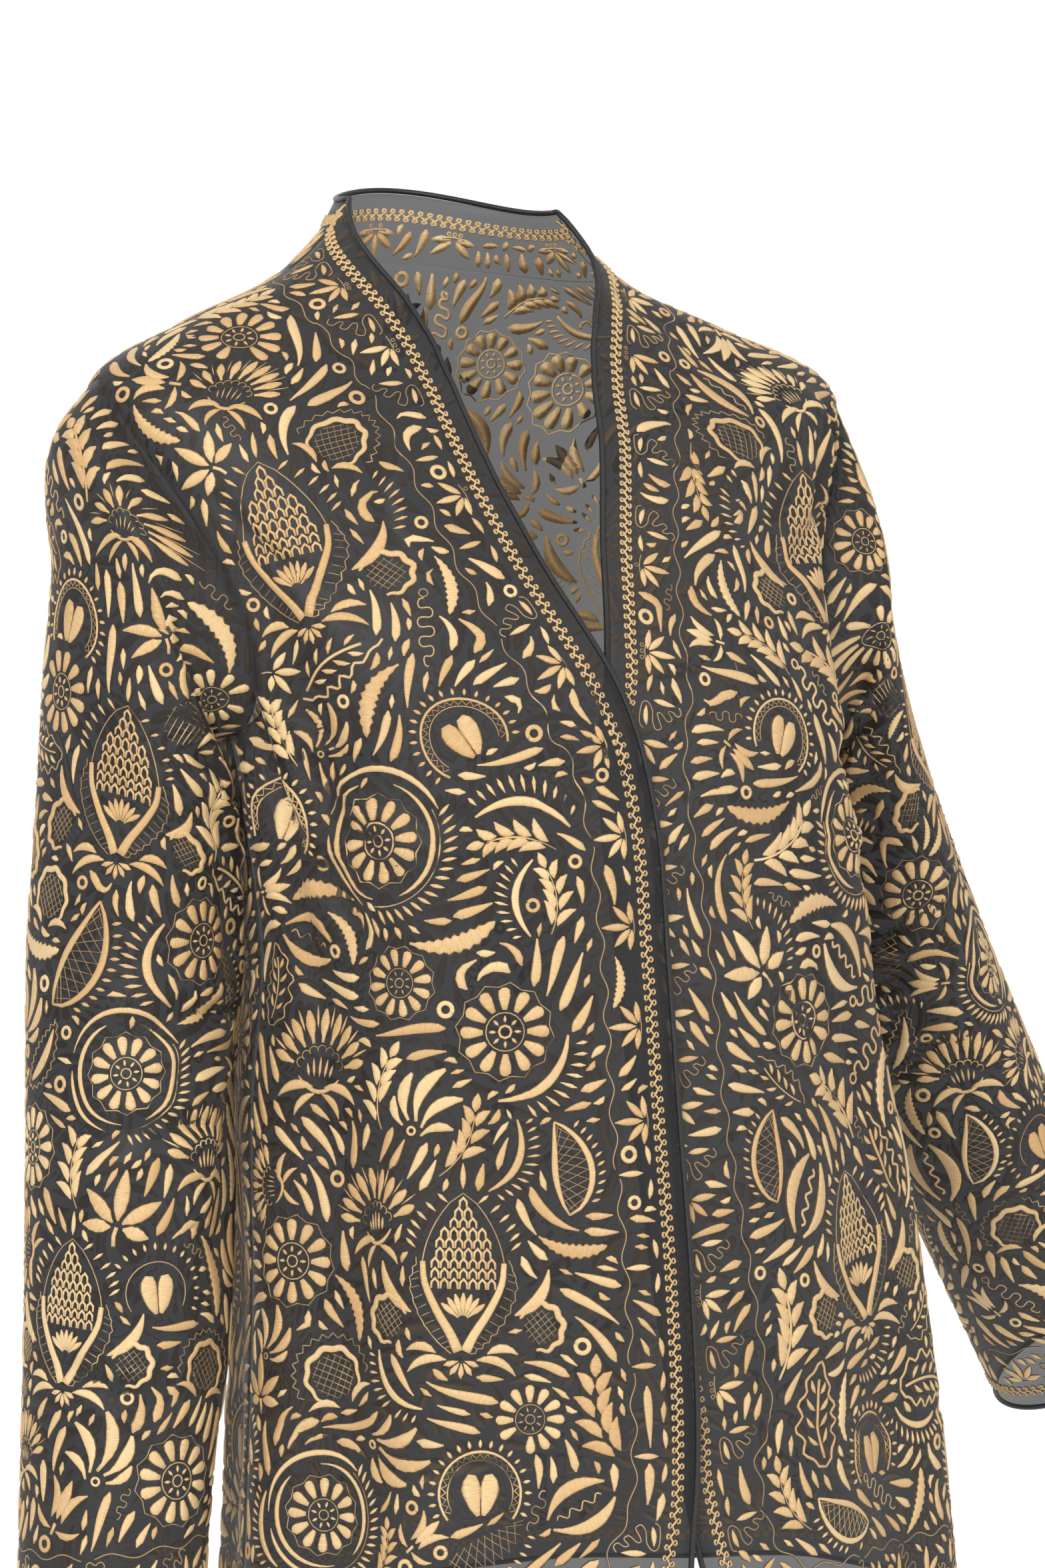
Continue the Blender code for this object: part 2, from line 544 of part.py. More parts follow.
def build():
    clear_scene()
    jacket = bpy.data.collections.new("jacket")
    bpy.context.scene.collection.children.link(jacket)
    cloth_surface = material("sheer_cloth", CLOTH_COLOUR, 0.55)
    edge_surface = material("rolled_edge", BINDING_COLOUR, 0.45)
    snap_surface = material("press_snap", SNAP_COLOUR, 0.35)

    names = {RIGHT: "right", LEFT: "left"}
    gap = SEAM_GAP / 2
    fronts = {side: front_points(side) for side in names}
    sleeves = {side: sleeve_points(side) for side in names}
    back = back_points()
    back_borders = {"top": (gap, across(back[-1], back[-2]))}
    for side, word in names.items():
        front, sleeve = fronts[side], sleeves[side]
        border, first, second = ("first", 0, 1) if side == LEFT else ("last", -1, -2)
        into_front = across(front[:, -1], front[:, -2])
        into_back = across(back[:, first], back[:, second])
        into_sleeve = across(sleeve[0], sleeve[1], closed=True)
        # the sleeve's ways in, in the order of the front's and of the back's armhole points
        fore = into_sleeve[: HOLE_ROWS + 1]
        aft = np.concatenate([into_sleeve[:1], into_sleeve[: HOLE_ROWS - 1 : -1]])
        front_room = bend_room(into_front, np.concatenate([into_back[:LOWER_ROWS], fore]))
        back_room = bend_room(into_back, np.concatenate([into_front[:LOWER_ROWS], aft]))
        into_panels = np.concatenate([into_front[LOWER_ROWS:], into_back[-2:LOWER_ROWS:-1]])
        sleeve_room = bend_room(into_sleeve, into_panels)
        back_borders[border] = (back_room, into_back)
        top = (gap, across(front[-1], front[-2]))
        panel = inset(front, {"top": top, "last": (front_room, into_front)})
        cloth(f"front_{word}", panel, cloth_surface, jacket, flip=side == RIGHT)
        tube = inset(sleeve, {"bottom": (sleeve_room, into_sleeve)})
        cloth(f"sleeve_{word}", tube, cloth_surface, jacket, closed=True, flip=side == LEFT)
        cuff = binding_path(sleeve[-1], sleeve[-2])
        binding(f"edge_cuff_{word}", cuff, edge_surface, jacket, cyclic=True)
        # from the top of the stand down the front edge, then along the hem to the side seam
        edge = np.concatenate([front[::-1, 0], front[0, 1:]])
        inner = np.concatenate([front[::-1, 1], front[1, 1:]])
        inner[HOLE_ROWS + LOWER_ROWS] = front[1, 1]
        binding(f"edge_{word}", binding_path(edge, inner), edge_surface, jacket)

    cloth("back", inset(back, back_borders), cloth_surface, jacket)
    binding("edge_back_hem", binding_path(back[0], back[1]), edge_surface, jacket)
    stand = neck_stand_points()
    stand_borders = {
        "bottom": (gap, across(stand[0], stand[1])),
        "first": (gap, across(stand[:, 0], stand[:, 1])),
        "last": (gap, across(stand[:, -1], stand[:, -2])),
    }
    cloth("neck_stand", inset(stand, stand_borders), cloth_surface, jacket)
    binding("edge_neck", binding_path(stand[-1], stand[-2]), edge_surface, jacket)

    under = body_point(SNAP_AROUND, SNAP_UP)
    direction = outward(np.array(SNAP_AROUND), np.array(SNAP_UP))
    step = WALL / 2 + SNAP_GAP + SNAP_THICKNESS / 2
    snap("snap_stud", under + step * direction, direction, snap_surface, jacket)
    snap("snap_cap", under + (LAP_LIFT - step) * direction, direction, snap_surface, jacket)


build()
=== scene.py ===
# %% [markdown]
# # A jacket of sheer black cloth with satin stitch
#
# The real jacket is cut from seven pieces of stiff, sheer black organza, and almost all of it is
# covered with cream satin stitch: pinecones, asters, hearts, leaves and thin couched cords.
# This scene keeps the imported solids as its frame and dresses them: each panel becomes a thin
# shell that follows the same rings and folds, and the stitches are raised shapes laid on it.

import functools
import math

import bmesh
import bpy
import numpy as np
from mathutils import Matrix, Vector


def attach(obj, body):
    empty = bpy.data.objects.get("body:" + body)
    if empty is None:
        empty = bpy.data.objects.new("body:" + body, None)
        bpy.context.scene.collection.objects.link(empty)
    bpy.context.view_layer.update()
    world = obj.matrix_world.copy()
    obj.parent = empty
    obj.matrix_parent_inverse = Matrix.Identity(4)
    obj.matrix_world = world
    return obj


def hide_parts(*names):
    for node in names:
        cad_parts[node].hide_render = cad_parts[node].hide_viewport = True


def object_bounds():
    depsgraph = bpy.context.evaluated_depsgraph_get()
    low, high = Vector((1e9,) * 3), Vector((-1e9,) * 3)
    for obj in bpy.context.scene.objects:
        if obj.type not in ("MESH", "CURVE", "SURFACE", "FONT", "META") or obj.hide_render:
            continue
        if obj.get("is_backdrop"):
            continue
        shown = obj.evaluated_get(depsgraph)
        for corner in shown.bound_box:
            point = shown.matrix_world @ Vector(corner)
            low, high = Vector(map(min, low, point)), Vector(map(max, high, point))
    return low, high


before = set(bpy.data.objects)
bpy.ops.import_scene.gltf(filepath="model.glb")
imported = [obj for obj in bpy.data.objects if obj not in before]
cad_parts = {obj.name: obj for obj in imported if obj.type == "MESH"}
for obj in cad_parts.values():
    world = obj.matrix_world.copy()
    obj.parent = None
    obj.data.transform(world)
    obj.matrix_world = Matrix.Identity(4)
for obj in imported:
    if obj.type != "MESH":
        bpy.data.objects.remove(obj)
cad_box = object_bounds()
print("solids:", len(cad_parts), "box:", [[round(x, 3) for x in corner] for corner in cad_box])

# %% [markdown]
# ## The camera
#
# The camera stands in front of the jacket and a little to the wearer's right, level with the chest.
# A long lens far away keeps the sleeves and the body at the same scale. It comes first, because the
# framing decides how fine the details have to be.

# %% Camera
CAMERA_AZIMUTH, CAMERA_ELEVATION = -28.0, 0.5
CAMERA_DISTANCE, CAMERA_LENS = 2.1, 96.4
CAMERA_TARGET = Vector((0.031, -0.0164, -0.259))


def place_camera():
    """A camera on a circle round its target, as an azimuth and an elevation give it."""
    turn, lift = math.radians(CAMERA_AZIMUTH), math.radians(CAMERA_ELEVATION)
    way = Vector((math.sin(turn) * math.cos(lift), -math.cos(turn) * math.cos(lift), math.sin(lift)))
    lens = bpy.data.cameras.new("camera")
    lens.lens = CAMERA_LENS
    lens.sensor_fit = "VERTICAL"
    lens.sensor_height = 36.0
    camera = bpy.data.objects.new("camera", lens)
    bpy.context.scene.collection.objects.link(camera)
    camera.location = CAMERA_TARGET + way * CAMERA_DISTANCE
    camera.rotation_euler = (-way).to_track_quat("-Z", "Y").to_euler()
    bpy.context.scene.camera = camera
    return camera


camera = place_camera()
print("camera at", [round(x, 3) for x in camera.location])

# %% [markdown]
# ## The body as one surface
#
# A worn jacket has no flat places, so its shape is written as rings, from the hem to the top of the
# neck stand. Each ring is two half ellipses of its own, and a smooth curve runs from ring to ring.
# A point is named by how far round it lies from the centre front, in degrees, and by how far up the
# cloth it lies from the hem, in metres. These are the solids' own numbers, so both shapes agree.

# %% Rings, edges and folds of the body
RIGHT, LEFT = -1, 1
WORD = {RIGHT: "right", LEFT: "left"}
UNDERARM_UP, SHOULDER_TIP_UP = 0.437, 0.614
NECK_BASE_UP, STAND_TOP_UP, NECK_CROSSING_UP = 0.712, 0.752, 0.462
LAP_LIFT, LAP_FLAT, LAP_FADE, LAP_RISE = 0.0046, 0.02, 0.05, 0.07
HEM_CORNER_RADIUS = 0.05
ARMHOLE_HALF_WIDTH, ARMHOLE_SCOOP = 24.0, 0.18

RING_COLUMNS = (
    "up", "right", "left", "front", "back", "centre_x", "centre_y",
    "z_front", "z_side", "z_back", "tilt",
)
RINGS = (
    (0.0, 0.163, 0.222, 0.146, 0.138, 0.032, -0.036, -0.672, -0.672, -0.672, 0.01),
    (0.09, 0.157, 0.213, 0.142, 0.134, 0.03, -0.036, -0.582, -0.582, -0.582, 0.008),
    (0.178, 0.151, 0.203, 0.138, 0.129, 0.026, -0.037, -0.494, -0.494, -0.494, 0.006),
    (0.26, 0.148, 0.193, 0.133, 0.123, 0.021, -0.038, -0.412, -0.412, -0.412, 0.004),
    (0.335, 0.138, 0.183, 0.129, 0.119, 0.016, -0.038, -0.337, -0.337, -0.337, 0.002),
    (0.395, 0.143, 0.175, 0.126, 0.116, 0.012, -0.038, -0.277, -0.277, -0.277, 0.0),
    (0.437, 0.148, 0.174, 0.124, 0.114, 0.01, -0.036, -0.235, -0.235, -0.235, 0.0),
    (0.489, 0.165, 0.18, 0.12, 0.112, 0.006, -0.03, -0.192, -0.188, -0.186, 0.005),
    (0.552, 0.185, 0.193, 0.108, 0.106, 0.002, -0.022, -0.145, -0.126, -0.124, 0.02),
    (0.614, 0.195, 0.207, 0.092, 0.094, 0.0, -0.01, -0.098, -0.059, -0.064, 0.035),
    (0.664, 0.144, 0.15, 0.076, 0.082, 0.0, -0.003, -0.062, -0.03, -0.024, 0.03),
    (0.712, 0.087, 0.09, 0.065, 0.071, 0.0, 0.0, -0.026, -0.004, 0.008, 0.015),
    (0.734, 0.068, 0.07, 0.057, 0.065, 0.0, 0.0, -0.005, 0.013, 0.026, 0.0),
    (0.752, 0.058, 0.06, 0.054, 0.063, 0.0, 0.0, 0.012, 0.029, 0.043, 0.0),
)
# how far round each front edge lies at a level
EDGE_COLUMNS = ("up", "right_edge", "left_edge")
EDGES = (
    (0.0, -2.0, 6.5),
    (0.045, -0.8, 2.8),
    (0.09, 0.9, 0.3),
    (0.178, 1.8, -2.8),
    (0.26, 2.0, -4.6),
    (0.335, 2.3, -5.6),
    (0.395, 2.4, -6.2),
    (0.437, 0.3, -5.2),
    (0.462, -1.7, -2.2),
    (0.489, -4.2, 0.0),
    (0.52, -6.6, 2.0),
    (0.552, -8.6, 4.0),
    (0.58, -9.8, 6.0),
    (0.614, -11.2, 8.6),
    (0.64, -13.6, 11.4),
    (0.664, -17.6, 15.6),
    (0.69, -26.0, 23.5),
    (0.712, -42.0, 38.5),
    (0.722, -55.0, 52.0),
    (0.734, -72.0, 70.0),
    (0.743, -82.0, 81.0),
    (0.752, -90.0, 90.0),
)
# where, how wide and how deep each fold is, between which levels, how it fades and leans
FOLD_COLUMNS = ("at", "width", "depth", "low", "high", "fade", "lean")
FOLDS = (
    (-40.0, 24.0, 0.008, 0.36, 0.44, 0.11, 0.0), (40.0, 24.0, 0.008, 0.36, 0.44, 0.11, 0.0),
    (-27.0, 8.0, -0.0035, 0.0, 0.18, 0.26, 10.0), (-45.0, 9.0, 0.006, 0.0, 0.16, 0.25, -12.0),
    (-63.0, 9.0, -0.0065, 0.0, 0.2, 0.24, -8.0), (-80.0, 9.0, 0.006, 0.0, 0.12, 0.26, 0.0),
    (22.0, 8.0, 0.003, 0.0, 0.14, 0.2, -8.0), (40.0, 8.0, -0.005, 0.0, 0.15, 0.24, -8.0),
    (57.0, 9.0, 0.007, 0.0, 0.2, 0.22, 6.0), (76.0, 8.0, -0.007, 0.0, 0.15, 0.23, 10.0),
    (52.0, 6.0, 0.0045, 0.38, 0.52, 0.09, 0.0), (63.0, 5.0, -0.008, 0.33, 0.52, 0.11, 0.0),
    (-60.0, 6.0, -0.006, 0.38, 0.5, 0.09, 12.0), (-34.0, 7.0, -0.003, 0.52, 0.6, 0.06, 60.0),
    (44.0, 7.0, -0.004, 0.56, 0.68, 0.06, 90.0), (104.0, 9.0, -0.006, 0.0, 0.15, 0.24, 8.0),
    (122.0, 9.0, 0.007, 0.0, 0.14, 0.25, 6.0), (140.0, 9.0, -0.006, 0.0, 0.17, 0.24, 4.0),
    (159.0, 9.0, 0.005, 0.0, 0.15, 0.26, 0.0), (179.0, 10.0, -0.0045, 0.0, 0.17, 0.24, 0.0),
    (199.0, 9.0, 0.0055, 0.0, 0.16, 0.26, 0.0), (218.0, 9.0, -0.005, 0.0, 0.15, 0.24, -4.0),
    (237.0, 9.0, 0.005, 0.0, 0.14, 0.24, -6.0), (255.0, 9.0, -0.005, 0.0, 0.13, 0.24, -8.0),
    (142.0, 16.0, 0.005, 0.5, 0.6, 0.07, 0.0), (218.0, 16.0, 0.005, 0.5, 0.6, 0.07, 0.0),
)


def smooth_table(rows, at):
    """Reads a table, or tables side by side, with a smooth curve through its rows."""
    table = np.array(rows, float)
    place, values = table[:, 0], table[:, 1:]
    slope = np.gradient(values, place, axis=0)
    at = np.clip(np.asarray(at, float), place[0], place[-1])
    low = np.clip(np.searchsorted(place, at, side="right") - 1, 0, len(place) - 2)
    step = (place[low + 1] - place[low])[..., None]
    share = (at - place[low])[..., None] / step
    return (
        (1 + 2 * share) * (1 - share) ** 2 * values[low]
        + share * (1 - share) ** 2 * step * slope[low]
        + share**2 * (3 - 2 * share) * values[low + 1]
        + share**2 * (share - 1) * step * slope[low + 1]
    )


def smooth_step(low, high, value):
    """0 below low, 1 above high, and a smooth rise between them."""
    share = np.clip((value - low) / (high - low), 0, 1)
    return share * share * (3 - 2 * share)


def unit(vectors):
    """Each vector at length 1."""
    return vectors / np.maximum(np.linalg.norm(vectors, axis=-1, keepdims=True), 1e-12)


def running_length(points):
    """How far along a line each of its points lies."""
    return np.concatenate([[0], np.cumsum(np.linalg.norm(np.diff(points, axis=0), axis=1))])


def fold_height(folds, around, along):
    """How far the folds of a table push the cloth out, at places round and along it."""
    height = np.zeros(np.broadcast(around, along).shape)
    for row in folds:
        fold = dict(zip(FOLD_COLUMNS, row))
        away = around - fold["at"] - fold["lean"] * (along - (fold["low"] + fold["high"]) / 2)
        away = (away + 180.0) % 360.0 - 180.0
        there = 1 - smooth_step(fold["high"], fold["high"] + fold["fade"], along)
        if fold["low"] > 0:
            there = there * smooth_step(fold["low"] - fold["fade"], fold["low"], along)
        height += fold["depth"] * np.exp(-((away / fold["width"]) ** 2)) * there
    return height


def body_point(around, up):
    """A point of the body's cloth."""
    around, up = np.broadcast_arrays(np.asarray(around, float), np.asarray(up, float))
    ring = dict(zip(RING_COLUMNS[1:], np.moveaxis(smooth_table(RINGS, up), -1, 0)))
    side, ahead = np.sin(np.radians(around)), np.cos(np.radians(around))
    fold = fold_height(FOLDS, around, up)
    x = (np.where(side > 0, ring["left"], ring["right"]) + fold) * side
    y = -(np.where(ahead > 0, ring["front"], ring["back"]) + fold) * ahead
    z_ahead = np.where(ahead > 0, ring["z_front"], ring["z_back"])
    z = z_ahead * ahead**2 + ring["z_side"] * side**2 + ring["tilt"] * x
    return np.stack([ring["centre_x"] + x, ring["centre_y"] + y, z], axis=-1)


def ring_width(up, side):
    """The body's half width on one side."""
    return smooth_table(RINGS, up)[..., RING_COLUMNS.index(WORD[side]) - 1]


def edge_around(side, up):
    """Where a front's edge lies round the body at a level."""
    return smooth_table(EDGES, up)[..., EDGE_COLUMNS.index(WORD[side] + "_edge") - 1]


def armhole(side, psi):
    """The armhole on the body. psi is 0 under the arm, 90 in front and 180 at the shoulder tip."""
    turn = np.radians(psi)
    middle, rise = (UNDERARM_UP + SHOULDER_TIP_UP) / 2, (SHOULDER_TIP_UP - UNDERARM_UP) / 2
    around = 90.0 - ARMHOLE_HALF_WIDTH * np.sin(turn) * (1 + ARMHOLE_SCOOP * np.cos(turn))
    return side * around, middle - rise * np.cos(turn)


print("rings:", len(RINGS), "folds:", len(FOLDS), "underarm at", body_point(90.0, UNDERARM_UP).round(3))

# %% [markdown]
# ## The sleeves
#
# A set-in sleeve starts on the armhole of the body and ends in a level tube. Each section is an
# ellipse with its own centre and its own pitch, so the tube can turn from the shoulder's slope to the
# hang of the arm. The place round it is 0 under the arm, 90 in front and 180 on the outside.

# %% Sections and folds of the sleeves
SLEEVE_COLUMNS = ("x", "y", "z", "pitch", "half_side", "half_fore")
SLEEVES = {
    RIGHT: (
        (-0.185, -0.022, -0.168, 66.0, 0.0815, 0.053),
        (-0.177, -0.017, -0.2055, 58.0, 0.071, 0.056),
        (-0.174, -0.01, -0.247, 45.5, 0.061, 0.0585),
        (-0.1712, -0.001, -0.295, 30.0, 0.053, 0.06),
        (-0.1715, 0.002, -0.345, 14.0, 0.051, 0.058),
        (-0.1755, -0.004, -0.41, 4.0, 0.049, 0.0555),
        (-0.18, -0.01, -0.48, 0.0, 0.0475, 0.0535),
        (-0.184, -0.012, -0.55, -3.0, 0.046, 0.0515),
        (-0.189, -0.016, -0.61, -5.0, 0.0445, 0.0495),
        (-0.193, -0.02, -0.656, -5.0, 0.0435, 0.048),
    ),
    LEFT: (
        (0.206, -0.02, -0.165, 81.6, 0.0718, 0.05),
        (0.2145, -0.013, -0.2027, 75.1, 0.0611, 0.052),
        (0.2268, -0.005, -0.2503, 65.1, 0.0527, 0.056),
        (0.249, 0.003, -0.304, 54.0, 0.0515, 0.057),
        (0.273, 0.008, -0.359, 43.0, 0.05, 0.0565),
        (0.304, 0.014, -0.4145, 35.0, 0.048, 0.055),
        (0.342, 0.026, -0.472, 31.0, 0.047, 0.053),
        (0.382, 0.044, -0.531, 31.0, 0.0455, 0.0505),
        (0.418, 0.06, -0.583, 31.0, 0.044, 0.048),
    ),
}

# Folds of a sleeve, with the body's fold columns: at is 0 under the arm, 90 in front and 180 outside,
# low, high and fade are shares of the sleeve's length, and lean is how far the fold winds round it
SLEEVE_FOLDS = {
    RIGHT: (
        (60.0, 22.0, -0.0055, 0.1, 0.34, 0.14, -90.0),
        (30.0, 18.0, 0.0045, 0.16, 0.4, 0.14, -60.0),
        (118.0, 24.0, 0.003, 0.24, 0.7, 0.16, 14.0),
        (40.0, 16.0, -0.0045, 0.46, 0.62, 0.1, 110.0),
        (20.0, 15.0, 0.0035, 0.6, 0.76, 0.1, 110.0),
        (320.0, 22.0, -0.004, 0.14, 0.5, 0.16, 60.0),
        (290.0, 20.0, 0.0035, 0.5, 0.8, 0.14, -50.0),
    ),
    LEFT: (
        (62.0, 20.0, -0.005, 0.08, 0.26, 0.12, -60.0),
        (96.0, 20.0, 0.004, 0.14, 0.44, 0.14, 20.0),
        (24.0, 16.0, 0.004, 0.28, 0.44, 0.12, 90.0),
        (48.0, 15.0, -0.0045, 0.4, 0.56, 0.1, 110.0),
        (130.0, 20.0, -0.003, 0.36, 0.74, 0.14, -20.0),
        (315.0, 20.0, -0.004, 0.16, 0.48, 0.14, 60.0),
        (280.0, 20.0, 0.0035, 0.46, 0.78, 0.14, -40.0),
    ),
}

RING_SAMPLES = 28
SLEEVE_FOLDS_START, CUFF_CALM_START, CUFF_CALM = 0.12, 0.9, 0.7


def sleeve_rings(side, psi):
    """The sleeve's rings at places round it: the armhole first, then each section."""
    turn = np.radians(psi)
    section = dict(zip(SLEEVE_COLUMNS, np.array(SLEEVES[side], float).T))
    centre = np.stack([section["x"], section["y"], section["z"]], axis=-1)
    pitch = np.radians(section["pitch"])
    outer = np.stack([side * np.cos(pitch), 0 * pitch, np.sin(pitch)], axis=-1)
    forward = np.array([0.0, -1.0, 0.0])
    rings = (
        centre[:, None]
        - (section["half_side"][:, None] * np.cos(turn))[..., None] * outer[:, None]
        + (section["half_fore"][:, None] * np.sin(turn))[..., None] * forward
    )
    return np.concatenate([body_point(*armhole(side, psi))[None], rings])


def sleeve_lengths(side):
    """How far along the sleeve each ring lies, and the rings' middles."""
    middles = sleeve_rings(side, np.arange(RING_SAMPLES) * 360.0 / RING_SAMPLES).mean(axis=1)
    return running_length(middles), middles


def sleeve_grid(side, psi, share):
    """The sleeve's cloth on a grid of places along it and round it."""
    length, middles = sleeve_lengths(side)
    rings = sleeve_rings(side, psi)
    points = smooth_table(np.column_stack([length, rings.reshape(len(rings), -1)]), share * length[-1])
    points = points.reshape(len(share), len(psi), 3)
    axis = smooth_table(np.column_stack([length, middles]), share * length[-1])[:, None]
    height = fold_height(SLEEVE_FOLDS[side], psi[None, :], share[:, None])
    spread = smooth_step(0.0, SLEEVE_FOLDS_START, share)
    spread = spread * (1 - CUFF_CALM * smooth_step(CUFF_CALM_START, 1.0, share))
    return points + (height * spread[:, None])[..., None] * unit(points - axis)


print("sleeve lengths:", {WORD[s]: round(float(sleeve_lengths(s)[0][-1]), 3) for s in WORD})

# %% [markdown]
# ## A chart for each panel
#
# Stitches have to lie on curved cloth, so every panel gets a chart: a fine grid of its surface that
# answers, for any place on the panel, where it is, which way the cloth faces, and how a step of some
# millimetres across or up the cloth changes the place. Motifs can then be drawn flat, in
# millimetres, and they keep their size wherever they are laid. Creases are pressed into the same
# grid, so the cloth and the stitches bend together.

# %% Charts
CREASE_COLUMNS = ("a0", "b0", "a1", "b1", "width", "depth")


def crease_height(creases, a, b, metres_per_a):
    """Soft troughs (-) and ridges (+) along short lines of a chart."""
    height = np.zeros(np.broadcast(a, b).shape)
    for row in creases:
        crease = dict(zip(CREASE_COLUMNS, row))
        ax, ay = crease["a0"] * metres_per_a, crease["b0"]
        bx, by = crease["a1"] * metres_per_a, crease["b1"]
        px, py = a * metres_per_a - ax, b - ay
        run = math.hypot(bx - ax, by - ay)
        ux, uy = (bx - ax) / run, (by - ay) / run
        along, off = (px * ux + py * uy) / run, px * uy - py * ux
        off = off + 0.06 * run * np.sin(3.1 * along)
        there = smooth_step(-0.15, 0.25, along) * (1 - smooth_step(0.6, 1.15, along))
        wide = crease["width"] * (0.7 + 0.5 * np.clip(along, 0, 1))
        trough = np.exp(-((off / wide) ** 2)) - 0.45 * np.exp(-(((np.abs(off) - 1.9 * wide) / wide) ** 2))
        height += crease["depth"] * trough * there
    return height


class Chart:
    """A panel's surface as a fine grid over its places a, round it, and b, up the cloth."""

    def __init__(self, a, b, points, facing):
        along_a, along_b = np.gradient(points, a, axis=1), np.gradient(points, b, axis=0)
        up = unit(along_b)
        slant = (along_a * up).sum(-1, keepdims=True)
        across = along_a - slant * up
        stretch = np.linalg.norm(across, axis=-1, keepdims=True)
        rise = np.linalg.norm(along_b, axis=-1, keepdims=True)
        normal = unit(np.cross(across, up)) * facing
        self.a, self.b = a, b
        self.table = np.concatenate([points, normal, unit(across), up, stretch, slant, rise], axis=-1)

    def read(self, a, b):
        """Columns 0-2 the point, 3-5 outward, 6-8 across, 9-11 up, then stretch, slant and rise."""
        u = np.clip((np.asarray(a, float) - self.a[0]) / (self.a[1] - self.a[0]), 0, len(self.a) - 1.001)
        v = np.clip((np.asarray(b, float) - self.b[0]) / (self.b[1] - self.b[0]), 0, len(self.b) - 1.001)
        i, j = u.astype(int), v.astype(int)
        s, t = (u - i)[..., None], (v - j)[..., None]
        low = self.table[j, i] * (1 - s) + self.table[j, i + 1] * s
        high = self.table[j + 1, i] * (1 - s) + self.table[j + 1, i + 1] * s
        return low * (1 - t) + high * t

    def steps(self, row, x, y):
        """The change of place for steps of x metres across and y metres up."""
        da = x / row[..., 12]
        return da, (y - row[..., 13] * da) / row[..., 14]

    def steps_along(self, row, way):
        """The change of place for one metre along a way in space."""
        return self.steps(row, (way * row[..., 6:9]).sum(-1), (way * row[..., 9:12]).sum(-1))


def press(points, creases, a, b, facing, metres_per_a):
    """Pushes the creases of a table into a grid of points."""
    flat = Chart(a, b, points, facing)
    height = crease_height(creases, a[None, :], b[:, None], metres_per_a)
    return Chart(a, b, points + height[..., None] * flat.table[..., 3:6], facing)


# %% [markdown]
# The creases are listed one by one, each as a line with its own width and depth. Organza is stiff, so
# they are shallow and crisp: some cross the chest from the armholes, some start at the fastener,
# and two long soft ones go round the body where the jacket lay folded.

# %% Creases
FRONT_CREASES = {
    RIGHT: (
        (76.0, 0.5, 66.0, 0.29, 0.0108, -0.0063),
        (68.0, 0.45, 40.0, 0.38, 0.0068, 0.0028),
        (80.0, 0.44, 52.0, 0.33, 0.0095, -0.005),
        (60.0, 0.56, 38.0, 0.5, 0.0068, -0.0022),
        (2.0, 0.418, 24.0, 0.455, 0.0035, -0.0012),
        (3.0, 0.41, 28.0, 0.392, 0.003, -0.0011),
        (4.0, 0.432, 18.0, 0.49, 0.0032, 0.001),
        (88.0, 0.39, 6.0, 0.404, 0.005, 0.0012),
        (86.0, 0.118, 8.0, 0.106, 0.0055, -0.0012),
        (16.0, 0.3, 30.0, 0.21, 0.005, 0.0014),
        (50.0, 0.26, 62.0, 0.15, 0.0074, -0.002),
        (24.0, 0.61, 30.0, 0.54, 0.0035, -0.0013),
    ),
    LEFT: (
        (58.0, 0.61, 60.5, 0.42, 0.009, 0.006),
        (64.5, 0.6, 66.5, 0.43, 0.006, -0.0064),
        (76.0, 0.48, 40.0, 0.41, 0.0081, -0.0036),
        (70.0, 0.455, 46.0, 0.37, 0.0068, 0.003),
        (80.0, 0.43, 60.0, 0.33, 0.0081, -0.0037),
        (58.0, 0.575, 36.0, 0.52, 0.0068, -0.0024),
        (8.0, 0.452, 22.0, 0.5, 0.0035, -0.0011),
        (4.0, 0.4, 26.0, 0.418, 0.0032, -0.0012),
        (88.0, 0.398, 6.0, 0.402, 0.005, 0.0012),
        (86.0, 0.11, 6.0, 0.114, 0.0055, -0.0012),
        (20.0, 0.33, 40.0, 0.24, 0.005, -0.0016),
        (48.0, 0.24, 34.0, 0.13, 0.0068, 0.0018),
        (20.0, 0.6, 34.0, 0.56, 0.0035, -0.0013),
    ),
}
BACK_CREASES = (
    (108.0, 0.48, 140.0, 0.43, 0.0084, -0.0034), (252.0, 0.485, 222.0, 0.42, 0.0084, -0.0036),
    (112.0, 0.44, 134.0, 0.36, 0.0077, 0.0028), (248.0, 0.445, 230.0, 0.35, 0.0077, 0.0026),
    (130.0, 0.62, 152.0, 0.56, 0.007, -0.0024), (230.0, 0.625, 206.0, 0.57, 0.007, -0.0022),
    (176.0, 0.69, 168.0, 0.61, 0.0063, -0.0018), (94.0, 0.396, 268.0, 0.402, 0.0077, 0.002),
    (94.0, 0.112, 266.0, 0.108, 0.0077, -0.002), (160.0, 0.34, 172.0, 0.2, 0.0084, -0.0022),
    (200.0, 0.31, 190.0, 0.18, 0.0077, 0.002),
)
